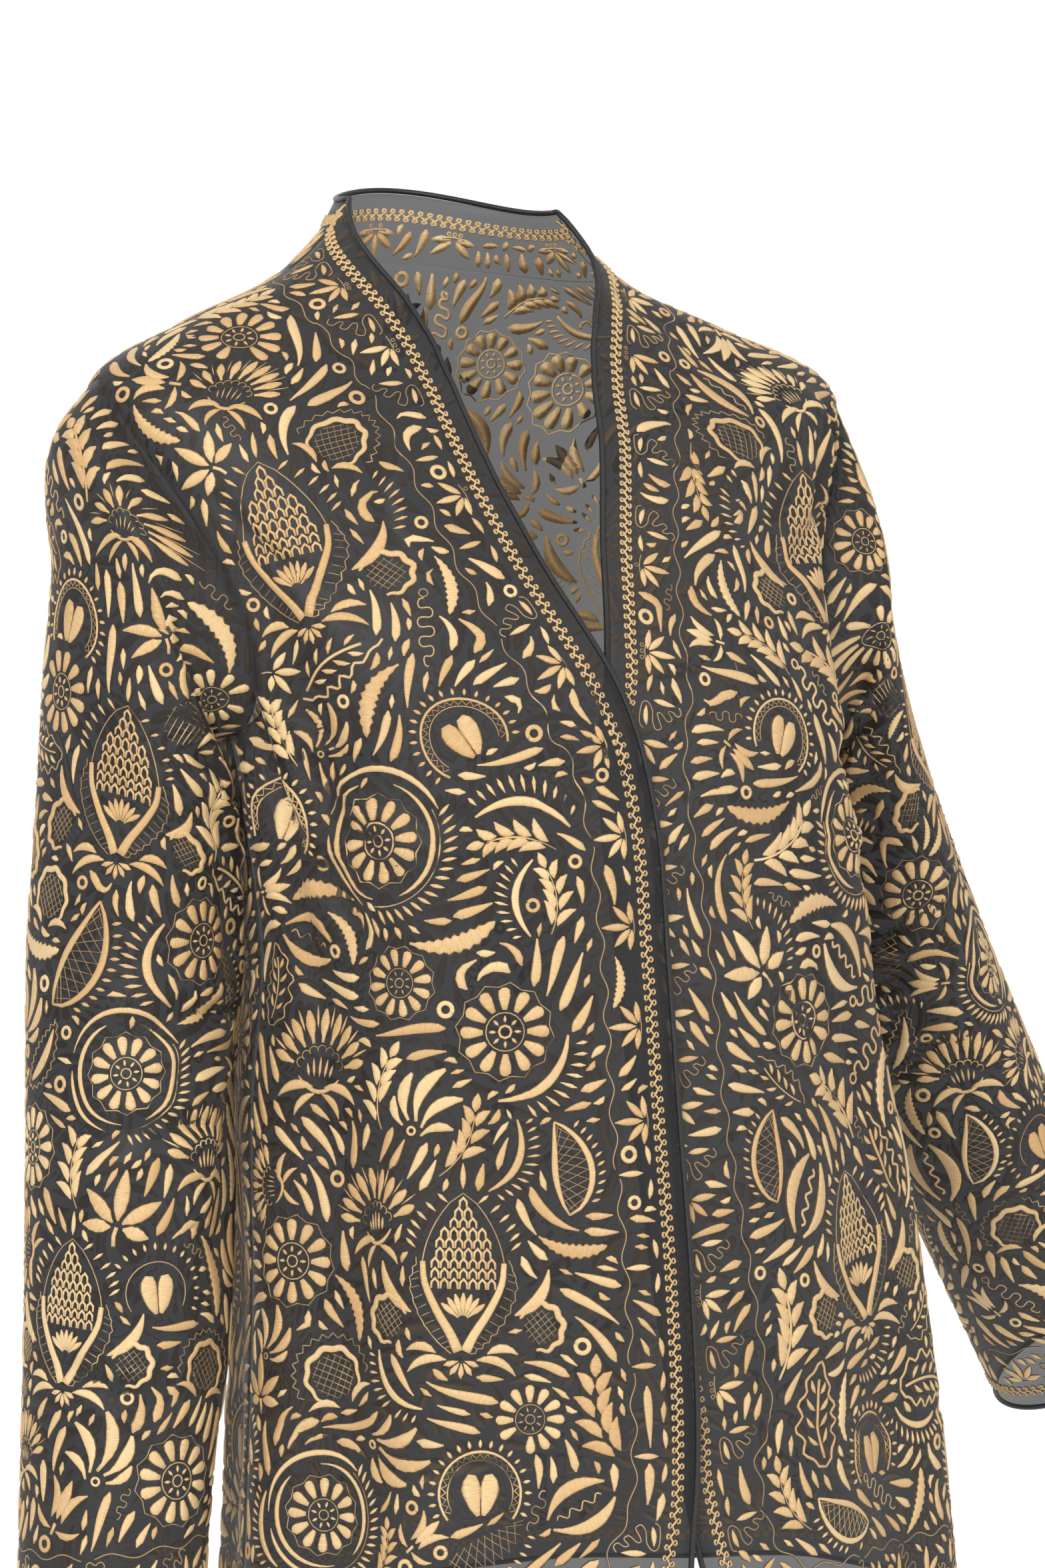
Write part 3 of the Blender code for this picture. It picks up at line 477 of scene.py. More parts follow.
SLEEVE_CREASES = {
    RIGHT: (
        (30.0, 0.44, 120.0, 0.4, 0.0075, -0.0042),
        (20.0, 0.41, 100.0, 0.35, 0.0075, 0.0025),
        (40.0, 0.3, 130.0, 0.27, 0.0067, -0.0042),
        (30.0, 0.27, 110.0, 0.235, 0.0067, 0.0023),
        (60.0, 0.24, 150.0, 0.225, 0.006, -0.0034),
        (330.0, 0.33, 240.0, 0.29, 0.0075, -0.0038),
        (320.0, 0.42, 250.0, 0.37, 0.0075, -0.0034),
        (150.0, 0.13, 70.0, 0.11, 0.0067, -0.0026),
    ),
    LEFT: (
        (25.0, 0.45, 110.0, 0.42, 0.0075, -0.0042),
        (20.0, 0.41, 90.0, 0.37, 0.0075, 0.0025),
        (20.0, 0.33, 115.0, 0.3, 0.0067, -0.0046),
        (30.0, 0.29, 125.0, 0.262, 0.0067, 0.0025),
        (25.0, 0.25, 100.0, 0.232, 0.006, -0.0035),
        (330.0, 0.34, 245.0, 0.3, 0.0075, -0.0042),
        (325.0, 0.43, 250.0, 0.385, 0.0075, -0.0034),
        (60.0, 0.14, 140.0, 0.12, 0.0067, -0.0026),
    ),
}
FRONT_METRES_PER_A, SLEEVE_METRES_PER_A = 0.0027, 0.0009


def body_chart(side, first, last, creases):
    """The chart of a body panel. The wearer's right front stands off where it lies over the left."""
    a, b = np.linspace(first, last, int((last - first) * 2) + 1), np.linspace(0.0, STAND_TOP_UP, 377)
    around = side * a
    points = body_point(around[None, :], b[:, None])
    if side == RIGHT:
        beyond = np.radians(around)[None, :] * ring_width(b, RIGHT)[:, None]
        lift = LAP_LIFT * smooth_step(-LAP_FLAT - LAP_FADE, -LAP_FLAT, beyond)
        lift = lift * (1 - smooth_step(NECK_CROSSING_UP, NECK_CROSSING_UP + LAP_RISE, b))[:, None]
        points = points + lift[..., None] * Chart(a, b, points, side).table[..., 3:6]
    return press(points, creases, a, b, side, FRONT_METRES_PER_A)


def sleeve_chart(side):
    """The chart of a sleeve: a is the place round it, b the length up from its cuff."""
    length = sleeve_lengths(side)[0][-1]
    a, share = np.linspace(0.0, 360.0, 361), np.linspace(1.0, 0.0, 281)
    b = (1 - share) * length
    return press(sleeve_grid(side, a, share), SLEEVE_CREASES[side], a, b, side, SLEEVE_METRES_PER_A)


charts = {
    "front_right": body_chart(RIGHT, -16.0, 91.0, FRONT_CREASES[RIGHT]),
    "front_left": body_chart(LEFT, -16.0, 91.0, FRONT_CREASES[LEFT]),
    "back": body_chart(LEFT, 89.0, 271.0, BACK_CREASES),
    "sleeve_right": sleeve_chart(RIGHT),
    "sleeve_left": sleeve_chart(LEFT),
}
print("charts:", {name: chart.table.shape[:2] for name, chart in charts.items()})

# %% [markdown]
# ## The cloth panels
#
# Each panel is cut out of its chart as a grid of quads that follows its seams, then Solidify gives it
# a wall of a few tenths of a millimetre. A grid that blends its four border lines keeps the
# rows square to the edges, which a trimmed plain grid would not.

# %% Panel grids
LOWER_ROWS, CHEST_ROWS, NECK_ROWS = 62, 44, 8
HOLE_ROWS = CHEST_ROWS + NECK_ROWS
SHOULDER_COLUMNS, STAND_ROWS = 16, 6
FRONT_COLUMNS = 2 * (SHOULDER_COLUMNS + STAND_ROWS)
NECK_COLUMNS = 30
CLOTH_WALL = 0.0004
SEAM_ROOM = 0.00004


def blend_borders(bottom, top, first, last):
    """A grid of places between four border lines, each given end to end."""
    columns = np.linspace(0, 1, len(bottom))[None, :, None]
    rows = np.linspace(0, 1, len(first))[:, None, None]
    sides = (1 - columns) * first[:, None] + columns * last[:, None]
    ends = (1 - rows) * bottom[None] + rows * top[None]
    corners = (1 - rows) * ((1 - columns) * bottom[0] + columns * bottom[-1])
    return sides + ends - corners - rows * ((1 - columns) * top[0] + columns * top[-1])


def line(start, end, count):
    """Places on a straight line of a chart, both ends included."""
    return np.linspace(np.array(start, float), np.array(end, float), count + 1)


def rounded_corner(side, grid):
    """Draws a front's lowest, foremost corner in to a round one."""
    a, b = grid[..., 0].copy(), grid[..., 1].copy()
    width = ring_width(b, side)
    across = np.radians(a - side * edge_around(side, b)) * width
    inside = (across < HEM_CORNER_RADIUS) & (b < HEM_CORNER_RADIUS)
    u, v = 1 - across / HEM_CORNER_RADIUS, 1 - b / HEM_CORNER_RADIUS
    reach = np.maximum(np.maximum(np.abs(u), np.abs(v)), 1e-9)
    shrink = np.where(inside, reach / np.maximum(np.hypot(u, v), 1e-9), 1.0)
    across = np.where(inside, HEM_CORNER_RADIUS * (1 - u * shrink), across)
    b = np.where(inside, HEM_CORNER_RADIUS * (1 - v * shrink), b)
    return np.stack([side * edge_around(side, b) + np.degrees(across / width), b], axis=-1)


def front_places(side):
    """The places of a front, from the hem up and from its edge to its side seam."""
    def edge_line(levels):
        return np.stack([side * edge_around(side, levels), levels], axis=-1)

    low = np.linspace(0, UNDERARM_UP, LOWER_ROWS + 1)
    hem = line((side * edge_around(side, 0.0), 0.0), (90.0, 0.0), FRONT_COLUMNS)
    chest = line((side * edge_around(side, UNDERARM_UP), UNDERARM_UP), (90.0, UNDERARM_UP), FRONT_COLUMNS)
    seam = line((90.0, 0.0), (90.0, UNDERARM_UP), LOWER_ROWS)
    lower = rounded_corner(side, blend_borders(hem, chest, edge_line(low), seam))
    high = np.append(
        np.linspace(UNDERARM_UP, NECK_BASE_UP, CHEST_ROWS + 1),
        np.linspace(NECK_BASE_UP, STAND_TOP_UP, NECK_ROWS + 1)[1:],
    )
    stand = line((90.0, STAND_TOP_UP), (90.0, NECK_BASE_UP), 2 * STAND_ROWS)
    slope = line((90.0, NECK_BASE_UP), (90.0, SHOULDER_TIP_UP), 2 * SHOULDER_COLUMNS)
    around, up = armhole(LEFT, np.linspace(0, 180, HOLE_ROWS + 1))
    top, hole = np.concatenate([stand, slope[1:]]), np.stack([around, up], axis=-1)
    upper = blend_borders(chest, top, edge_line(high), hole)
    return np.concatenate([lower, upper[1:]])


def back_places():
    """The places of the back, from the hem up and from the left side seam to the right one."""
    columns = 2 * SHOULDER_COLUMNS + NECK_COLUMNS
    hem, chest = (line((90.0, up), (270.0, up), columns) for up in (0.0, UNDERARM_UP))
    first, last = (line((seam, 0.0), (seam, UNDERARM_UP), LOWER_ROWS) for seam in (90.0, 270.0))
    lower = blend_borders(hem, chest, first, last)
    top = np.concatenate([
        line((90.0, SHOULDER_TIP_UP), (90.0, NECK_BASE_UP), SHOULDER_COLUMNS),
        line((90.0, NECK_BASE_UP), (270.0, NECK_BASE_UP), NECK_COLUMNS)[1:],
        line((270.0, NECK_BASE_UP), (270.0, SHOULDER_TIP_UP), SHOULDER_COLUMNS)[1:],
    ])
    around, up = armhole(LEFT, np.linspace(360, 180, HOLE_ROWS + 1))
    hole = np.stack([around, up], axis=-1)
    upper = blend_borders(chest, top, hole, np.stack([360.0 - around, up], axis=-1))
    return np.concatenate([lower, upper[1:]])


def sleeve_places(side):
    """The places of a sleeve, from the cuff up and once round it."""
    length = sleeve_lengths(side)[0][-1]
    a, b = np.linspace(0.0, 360.0, 85)[:-1], np.linspace(0.0, length, 101)
    return np.stack(np.meshgrid(a, b), axis=-1)


places = {
    "front_right": front_places(RIGHT),
    "front_left": front_places(LEFT),
    "back": back_places(),
    "sleeve_right": sleeve_places(RIGHT),
    "sleeve_left": sleeve_places(LEFT),
}
print("panel grids:", {name: grid.shape[:2] for name, grid in places.items()})

# %% [markdown]
# ## A mesh from rows of points
#
# Two small helpers make every mesh here: one turns a grid of points into quads with a UV map in
# millimetres, the other puts an object on the frame's one body and gives it its finish.

# %% Mesh helpers
def grid_mesh(name, points, uv, closed=False, flip=False):
    """A mesh of quads over a grid of points. A closed grid joins its last column to its first."""
    rows, columns = points.shape[:2]
    j, i = np.meshgrid(np.arange(rows - 1), np.arange(columns if closed else columns - 1), indexing="ij")
    after = (i + 1) % columns
    row, above = j * columns, (j + 1) * columns
    quads = np.stack([row + i, row + after, above + after, above + i], -1).reshape(-1, 4)
    corner_columns = np.stack([i, i + 1, i + 1, i], -1).reshape(-1, 4)
    if flip:
        quads, corner_columns = quads[:, ::-1], corner_columns[:, ::-1]
    mesh = bpy.data.meshes.new(name)
    mesh.from_pydata(points.reshape(-1, 3), [], quads.tolist())
    layer = mesh.uv_layers.new(name="cloth")
    if closed:
        uv = np.concatenate([uv, uv[:, :1] + (uv[:, -1:] - uv[:, -2:-1])], axis=1)
    layer.uv.foreach_set("vector", uv[quads // columns, corner_columns].astype(np.float32).ravel())
    mesh.shade_smooth()
    return mesh


def add_piece(name, mesh, material, replaced=()):
    """Puts a finished mesh on the frame's body."""
    mesh.materials.clear()
    mesh.materials.append(material)
    piece = bpy.data.objects.new(name, mesh)
    bpy.context.scene.collection.objects.link(piece)
    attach(piece, "root")
    if replaced:
        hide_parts(*replaced)
    return piece


# %% [markdown]
# ## The finishes
#
# Organza is a plain open weave of very fine twisted threads: it is see-through, a little glossy and
# never evenly dark. Its threads are far finer than a pixel from here, so the material gives the
# weave as fine bump and faint lines, and the see-through part as a plain alpha on the shader.
# Satin stitch is smooth thread laid side by side across each shape: its bump and its faint dark lines, which are
# painted shade between the threads, run across the shape, which is what a UV map along each stitch shape is for.
# Each shape is also a little lighter or darker, partly in the thread's own colour and partly as painted light and
# shade.

# %% Material helpers
def feed(tree, target, inputs):
    """Sets a node's inputs: a socket is linked to its input, anything else becomes its value."""
    for name, value in inputs.items():
        if isinstance(value, bpy.types.NodeSocket):
            tree.links.new(value, target.inputs[name])
        else:
            target.inputs[name].default_value = value
    return target


def node(tree, kind, inputs=None, **settings):
    """Adds a node, sets its properties and its inputs."""
    made = tree.nodes.new(kind)
    for name, value in settings.items():
        setattr(made, name, value)
    return feed(tree, made, inputs or {})


def add_sockets(tree, *sockets):
    """Gives a node group its inputs and outputs."""
    made = {}
    for name, way, kind in sockets:
        made[name] = tree.interface.new_socket(name, in_out=way, socket_type="NodeSocket" + kind)
    return made, tree.nodes.new("NodeGroupInput").outputs, tree.nodes.new("NodeGroupOutput")


def new_material(name, inputs):
    """A material with its node tree and its Principled shader, which gets its first inputs."""
    material = bpy.data.materials.new(name)
    material.use_nodes = True
    tree = material.node_tree
    return material, tree, feed(tree, tree.nodes["Principled BSDF"], inputs)


def ramp(tree, factor, *stops):
    """A colour ramp over a factor, with its first stop, its last one and any between."""
    made = node(tree, "ShaderNodeValToRGB", {"Fac": factor})
    elements = made.color_ramp.elements
    for k, (position, colour) in enumerate(stops):
        element = elements[k] if k < 2 else elements.new(position)
        element.position, element.color = position, (*colour, 1.0)
    return made.outputs["Color"]


def surface(tree, shader, colour, relief, rough, strength, depth):
    """Colours a shader, and lets its relief change both its roughness and its bump."""
    gloss = node(tree, "ShaderNodeMapRange", {"Value": relief, "To Min": rough[0], "To Max": rough[1]})
    bump = node(tree, "ShaderNodeBump", {"Height": relief, "Strength": strength, "Distance": depth})
    feed(tree, shader, {"Base Color": colour, "Roughness": gloss.outputs[0], "Normal": bump.outputs[0]})


def threads_group():
    """Fine parallel threads along V of a UV in millimetres: their height and how worn their colour is."""
    tree = bpy.data.node_groups.new("parallel_threads", "ShaderNodeTree")
    _, given, end = add_sockets(
        tree, ("UV", "INPUT", "Vector"), ("Threads per mm", "INPUT", "Float"), ("Unevenness", "INPUT", "Float"),
        ("Height", "OUTPUT", "Float"), ("Streaks", "OUTPUT", "Float"),
    )
    wobble = node(tree, "ShaderNodeTexNoise", {"Vector": given["UV"], "Scale": 0.35, "Detail": 2.0})
    split = node(tree, "ShaderNodeSeparateXYZ", {0: given["UV"]})
    value = split.outputs["X"]
    for operation, inputs in (
        ("MULTIPLY_ADD", {0: wobble.outputs["Fac"], 1: given["Unevenness"]}),
        ("MULTIPLY", {1: given["Threads per mm"]}), ("MULTIPLY", {1: math.tau}), ("SINE", {}),
    ):
        made = node(tree, "ShaderNodeMath", inputs, operation=operation)
        tree.links.new(value, made.inputs[2 if 0 in inputs else 0])
        value = made.outputs[0]
    height = node(tree, "ShaderNodeMapRange", {"Value": value, "From Min": -1.0, "From Max": 1.0})
    stretch = node(tree, "ShaderNodeVectorMath", {0: given["UV"], 1: (1.6, 0.12, 1.0)}, operation="MULTIPLY")
    worn = {"Vector": stretch.outputs[0], "Scale": 1.0, "Detail": 3.0, "Roughness": 0.6}
    streaks = node(tree, "ShaderNodeTexNoise", worn)
    feed(tree, end, {"Height": height.outputs[0], "Streaks": streaks.outputs["Fac"]})
    return tree


threads = threads_group()


# %% Organza
def organza(name, alpha):
    """Sheer black cloth: an open weave with a faint sheen."""
    material, tree, shader = new_material(name, {
        "Alpha": alpha, "Sheen Weight": 0.12, "Sheen Roughness": 0.45, "Sheen Tint": (0.74, 0.74, 0.78, 1.0),
        "Specular IOR Level": 0.35,
    })
    place = node(tree, "ShaderNodeUVMap", uv_map="cloth").outputs[0]
    turned = node(tree, "ShaderNodeMapping", {"Vector": place, "Rotation": (0.0, 0.0, math.pi / 2)}).outputs[0]
    yarn = {"Threads per mm": 1.6, "Unevenness": 0.5}
    warp, weft = (
        node(tree, "ShaderNodeGroup", {"UV": vector, **yarn}, node_tree=threads) for vector in (place, turned)
    )
    heights = {0: warp.outputs["Height"], 1: weft.outputs["Height"]}
    crossed = node(tree, "ShaderNodeMath", heights, operation="MAXIMUM")
    cloudy = node(tree, "ShaderNodeTexNoise", {"Vector": place, "Scale": 0.02, "Detail": 3.0})
    parts = {0: 0.5, 2: warp.outputs["Streaks"], 3: cloudy.outputs["Fac"]}
    slubs = node(tree, "ShaderNodeMix", parts, data_type="FLOAT")
    colour = ramp(tree, slubs.outputs[0], (0.3, (0.01, 0.01, 0.011)), (0.7, (0.026, 0.024, 0.024)))
    surface(tree, shader, colour, crossed.outputs[0], (0.42, 0.62), 0.25, 0.0001)
    return material


# %% Satin thread
def satin(name, dark, middle, light, threads_per_mm, depth, sheen=0.2):
    """Smooth thread laid side by side, each shape a little lighter or darker than the next, partly in its own
    colour and partly as painted light and shade; the faint dark lines between the threads are painted shade.
    """
    material, tree, shader = new_material(name, {
        "Sheen Weight": sheen, "Sheen Roughness": 0.35, "Sheen Tint": (1.0, 0.9, 0.72, 1.0),
        "Specular IOR Level": 0.55,
    })
    place = node(tree, "ShaderNodeUVMap", uv_map="thread").outputs[0]
    sizes = {"UV": place, "Threads per mm": threads_per_mm, "Unevenness": 0.9}
    laid = node(tree, "ShaderNodeGroup", sizes, node_tree=threads).outputs
    # each shape lighter or darker: partly the thread's own colour, partly painted light and shade
    tone = node(tree, "ShaderNodeAttribute", attribute_name="tone").outputs["Fac"]
    mixed = node(tree, "ShaderNodeMath", {0: laid["Streaks"], 1: 0.75, 2: tone}, operation="MULTIPLY_ADD")
    colour = ramp(tree, mixed.outputs[0], (0.25, dark), (0.95, light), (0.55, middle))
    # painted shade: the colour is darkened in the grooves between the threads
    painted_groove_shade = node(
        tree, "ShaderNodeMapRange", {"Value": laid["Height"], "From Max": 0.6, "To Min": 0.72, "To Max": 1.0}
    )
    parts = {0: 1.0, 6: colour, 7: painted_groove_shade.outputs[0]}
    shaded = node(tree, "ShaderNodeMix", parts, data_type="RGBA", blend_type="MULTIPLY")
    surface(tree, shader, shaded.outputs[2], laid["Height"], (0.52, 0.34), 0.55, depth)
    return material


# The cream ramp runs from an amber that is partly painted shade to a pale cream that is partly painted highlight;
# between them lies the thread's own uneven colour.
CREAM_SHADE_AMBER, CREAM, CREAM_HIGHLIGHT_PALE = (0.62, 0.37, 0.15), (0.84, 0.6, 0.3), (0.94, 0.76, 0.46)
BLACK_DARK, BLACK, BLACK_LIGHT = (0.006, 0.006, 0.007), (0.012, 0.011, 0.012), (0.02, 0.018, 0.018)
cloth_finish = organza("sheer_black_organza", 0.62)
thread_finish = satin("cream_satin_stitch", CREAM_SHADE_AMBER, CREAM, CREAM_HIGHLIGHT_PALE, 1.9, 0.00022)
edge_finish = satin("black_rolled_edge", BLACK_DARK, BLACK, BLACK_LIGHT, 1.3, 0.0003, 0.03)
print("finishes:", [material.name for material in (cloth_finish, thread_finish, edge_finish)])

# %% [markdown]
# The panels are now cut from their charts. A seam's two panels stop just short of each other, the
# hem and the front edges end under their rolled edge.

# %% Cut the panels
BORDERS = {
    "bottom": (np.s_[0], np.s_[1]), "top": (np.s_[-1], np.s_[-2]),
    "first": (np.s_[:, 0], np.s_[:, 1]), "last": (np.s_[:, -1], np.s_[:, -2]),
}
SEAMS = {
    "front_right": ("last", "top"), "front_left": ("last", "top"), "back": ("first", "last", "top"),
    "sleeve_right": ("top",), "sleeve_left": ("top",), "neck_stand": ("first", "last", "bottom"),
}
cloth_points, panels = {}, {}


def cut_panel(name, points, closed=False, flip=False):
    """A panel of cloth from its grid of points, a little short of its seams, and its area."""
    into = {border: unit(points[inner] - points[outer]) for border, (outer, inner) in BORDERS.items()}
    points = points.copy()
    for border in SEAMS[name]:
        points[BORDERS[border][0]] += SEAM_ROOM * into[border]
    cloth_points[name] = points
    run = np.linalg.norm(np.diff(points, axis=1), axis=-1).mean(axis=0)
    rise = np.linalg.norm(np.diff(points, axis=0), axis=-1).mean(axis=1)
    u, v = (np.concatenate([[0], np.cumsum(steps)]) * 1000 for steps in (run, rise))
    mesh = grid_mesh("cloth_" + name, points, np.stack(np.meshgrid(u, v), axis=-1), closed, flip)
    panels[name] = add_piece("cloth_" + name, mesh, cloth_finish, (name,))
    wall = panels[name].modifiers.new("wall", "SOLIDIFY")
    wall.thickness, wall.offset, wall.use_even_offset = CLOTH_WALL, 0.0, True
    area = sum(face.area for face in mesh.polygons)
    print(name, "faces", len(mesh.polygons), "area", round(area, 4))
    return area


def cloth_grid(name):
    """The points of a panel's grid on its chart."""
    return charts[name].read(*np.moveaxis(places[name], -1, 0))[..., :3]


areas = {}
for name in places:
    areas[name] = cut_panel(name, cloth_grid(name), name.startswith("sleeve"), name.endswith("right"))
stand_around, stand_up = np.linspace(90, 270, NECK_COLUMNS + 1), np.linspace(NECK_BASE_UP, STAND_TOP_UP, 9)
stand_points = body_point(stand_around[None, :], stand_up[:, None])
areas["neck_stand"] = cut_panel("neck_stand", stand_points)

# %% [markdown]
# ## A stitch shape
#
# Every embroidered form is made of stitch shapes: a spine with a width at each point, like the
# satin bars, petals and leaves that an embroidery machine fills from side to side. A motif is a list of
# such shapes, drawn flat in millimetres with its foot at (0, 0) and its growth along +y.

# %% Stitch shapes
def stitch(path, width, height=0.75):
    """A stitch shape: its spine, its width along the spine and how high it stands, in millimetres."""
    path = np.asarray(path, float)
    return path, np.broadcast_to(np.asarray(width, float), len(path)).copy(), height


def bow(start, end, bend=0.0, count=6):
    """A bent line. bend is its rise as a share of its length, + to the left of its way."""
    t = np.linspace(0, 1, count)[:, None]
    start, end = np.array(start, float), np.array(end, float)
    way = end - start
    return start + t * way + 4 * t * (1 - t) * bend * np.array([-way[1], way[0]])


def leaf(start, end, width, bend=0.0, belly=0.45, blunt=0.14):
    """A satin leaf, petal or almond between two points, widest at its belly."""
    length = math.dist(start, end)
    count = 4 + int(length > 7) + int(length > 11) + 2 * int(length > 17) + 2 * int(length > 28)
    share = np.linspace(0, 1, count) ** (math.log(0.5) / math.log(belly))
    profile = np.maximum(np.sin(np.pi * share) ** 0.75, blunt)
    return stitch(bow(start, end, bend, count), width * profile)


def polar(radius, degrees, centre=(0.0, 0.0)):
    """A point at a radius and a direction, counted from +y towards +x."""
    turn = math.radians(degrees)
    return centre[0] + radius * math.sin(turn), centre[1] + radius * math.cos(turn)


def cord(path, width=1.4):
    """A thin couched cord along a path."""
    return stitch(path, width, 0.62)


def ring(radius, centre=(0.0, 0.0), width=1.2, count=12, first=0.0, last=360.0):
    """A cord in a circle, or a part of one."""
    return cord([polar(radius, turn, centre) for turn in np.linspace(first, last, count + 1)], width)


def smooth(points, parts=4):
    """A rounded line through points, in cubic pieces from one to the next."""
    points = np.asarray(points, float)
    padded = np.concatenate([2 * points[:1] - points[1:2], points, 2 * points[-1:] - points[-2:-1]])
    t = (np.arange(parts) / parts)[:, None]
    made = []
    for a, b, c, d in zip(padded, padded[1:], padded[2:], padded[3:]):
        cubic = (3 * b - a - 3 * c + d) * t**3
        made.append(0.5 * (2 * b + (c - a) * t + (2 * a - 5 * b + 4 * c - d) * t**2 + cubic))
    return np.concatenate(made + [points[-1:]])


def on_line(at, length, rows):
    """The x and y of a line of rows at lengths, or at shares, along it."""
    return np.stack([np.interp(at, length, rows[:, k]) for k in (0, 1)], axis=-1)


def ways(spine):
    """The unit way along a flat spine at each of its points, and the unit way to its left."""
    way = unit(np.gradient(spine, axis=0))
    return way, np.stack([-way[:, 1], way[:, 0]], axis=-1)


def teeth(path, reach, count):
    """A zigzag cord to both sides of a path."""
    path = np.asarray(path, float)
    length = running_length(path)
    along = on_line(np.linspace(0, length[-1], count), length, path)
    return cord(along + ways(along)[1] * reach * np.where(np.arange(count) % 2, 1, -1)[:, None], 1.3)


# %% [markdown]
# ## The motifs
#
# These are ordinary forms of old flower embroidery: asters, lotus blossoms, fans, pinecones, hearts,
# netted and serrated leaves, combs and sprigs. They are drawn here for this jacket, from the same few
# shapes, and each has its own function.

# %% Flowers
def aster(radius=22.0, petals=12):
    """A round flower: blunt petals, a ring of small ones and a zigzag line round it."""
    made = [ring(radius * 0.13, count=8, width=1.6), ring(radius * 0.4, count=20, width=1.3)]
    made += [leaf(polar(radius * 0.19, t), polar(radius * 0.34, t), 2.0) for t in np.arange(8) * 45.0]
    wide = 2 * math.pi * radius * 0.72 / petals
    for k in range(petals):
        turn = 360.0 * k / petals
        path = [polar(radius * share, turn) for share in (0.46, 0.6, 0.74, 0.86, 0.92)]
        made.append(stitch(path, wide * np.array([0.34, 0.62, 0.84, 0.8, 0.3])))
    edge = []
    for k in range(2 * petals + 1):
        edge.append(polar(radius * (1.03 if k % 2 else 0.93), 180.0 * k / petals + 90.0 / petals))
    made.append(cord(edge, 1.0))
    return made


def petals(turns, reaches, width, foot=(0.0, 0.0), start=1.6):
    """Pointed satin petals spread from a foot, the middle one standing highest."""
    made = []
    for turn, reach in zip(turns, reaches):
        path, wide, _ = leaf(polar(start, turn, foot), polar(reach, turn, foot), width, belly=0.46)
        made.append((path, wide, 0.62 + 0.33 * math.cos(math.radians(turn))))
    return made


def lotus():
    """The border's small blossom: spread pointed petals on the border's cord, with three rings under it."""
    made = petals((-84, -46, 0, 44, 82), (11.5, 13.5, 15.5, 13.0, 11.0), 4.4, (0, 1.0))
    made.append(cord(np.array([(-6.2, 0.9), (-3.2, 0.1), (0, -0.2), (3.2, 0.1), (6.2, 0.9)]), 1.1))
    made += [ring(0.95, (x, -1.75), width=0.8, count=7) for x in (-3.1, 0.0, 3.1)]
    return made


WRAP = (
    (14.2, 0.9), (12.4, -1.5), (7.0, -2.0), (2.4, -1.2), (1.6, 1.6), (5.0, 4.6), (10.0, 5.4), (13.2, 7.8),
    (11.6, 10.6), (8.4, 8.6), (5.6, 7.4), (5.2, 9.6), (8.0, 13.4), (6.4, 15.8), (3.6, 13.2), (2.9, 15.4),
    (4.4, 18.6), (2.6, 20.4), (0.0, 18.9),
)


def spray():
    """Three almonds wrapped in one cord that runs in lobes from the border's line and back."""
    made = [leaf((0, 4.6), (0, 16.6), 3.7)]
    for side in (-1, 1):
        made.append(leaf((side * 12.4, 2.3), (side * 3.4, 0.9), 3.4, bend=side * 0.05))
        made.append(cord(smooth(np.array(WRAP) * [side, 1.0], 3), 1.05))
    return made


def maple():
    """A small satin leaf of five points on a short stem."""
    made = petals((-100, -52, 0, 50, 96), (9.0, 13.5, 15.0, 12.5, 9.5), 4.8, (0, 3.0))
    made.append(cord([(0, -2.0), (0.4, 0.6), (0, 3.0)], 1.4))
    return made


def wheel(radius=22.0):
    """A round flower in broken hoops of satin, with a combed crescent on one side."""
    made = aster(radius)
    hoops = (1.27, 15, 165, 3.6), (1.27, 195, 335, 3.3), (1.55, -70, 62, 3.8), (1.52, 78, 150, 3.0)
    for far, first, last, width in hoops:
        count = 6 + int((last - first) / 12)
        t = np.linspace(0, 1, count)
        path = [polar(radius * far, turn) for turn in np.linspace(first, last, count)]
        made.append(stitch(path, width * np.maximum(np.sin(np.pi * t**0.8) ** 0.6, 0.2)))
    bars = np.arange(172, 290, 7.5)
    made += [leaf(polar(radius * 1.5, turn), polar(radius * 1.8, turn + 5), 2.4) for turn in bars]
    made.append(ring(radius * 1.42, width=1.1, count=22, first=168, last=292))
    return made


def fan_flower():
    """A half-open flower: a fan of petals, a row of arches under them and a combed cup."""
    made = []
    for k, turn in enumerate(np.linspace(-72, 72, 9)):
        reach = (27.0 + 4.0 * math.cos(math.radians(turn)))
        made.append(leaf(polar(15, turn, (0, 6)), polar(reach, turn, (0, 6)), 6.4, belly=0.62, blunt=0.3))
        if k < 8:
            middle = turn + 9.0
            made.append(leaf(polar(22, middle, (0, 6)), polar(32.5, middle, (0, 6)), 1.7))
    for turn in np.linspace(-64, 64, 7):
        made.append(ring(2.3, polar(11.6, turn, (0, 6)), 1.0, 6, turn - 110, turn + 110))
    made += [leaf((0.9 * x, 5), polar(8.4, 9.0 * x, (0, 6)), 1.9) for x in (-6.0, -3.0, 0.0, 3.0, 6.0)]
    cup = 2.4 * np.array([0.4, 0.8, 1, 1.1, 1.1, 1.1, 1, 0.8, 0.4])
    made.append(stitch(bow((-11, 4.5), (11, 4.5), -0.3, 9), cup))
    for side in (-1, 1):
        made.append(leaf((side * 3, 0), (side * 22, -6), 6.0, bend=side * 0.16))
        made.append(leaf((side * 2, -3), (side * 12, -14), 4.6, bend=side * 0.14))
    return made


def tulip():
    """A small bell of three petals with two leaves."""
    made = [leaf((0, 5), (0, 17), 4.6, belly=0.5)]
    for side in (-1, 1):
        made.append(leaf((side * 2.2, 4.6), (side * 6.6, 15.5), 3.6, bend=side * 0.16, belly=0.45))
        made.append(leaf((side * 1.2, 1.6), (side * 9.0, 4.8), 2.7, bend=-side * 0.16))
    made.append(cord([(0, 0), (0, 3.6)], 1.4))
    return made


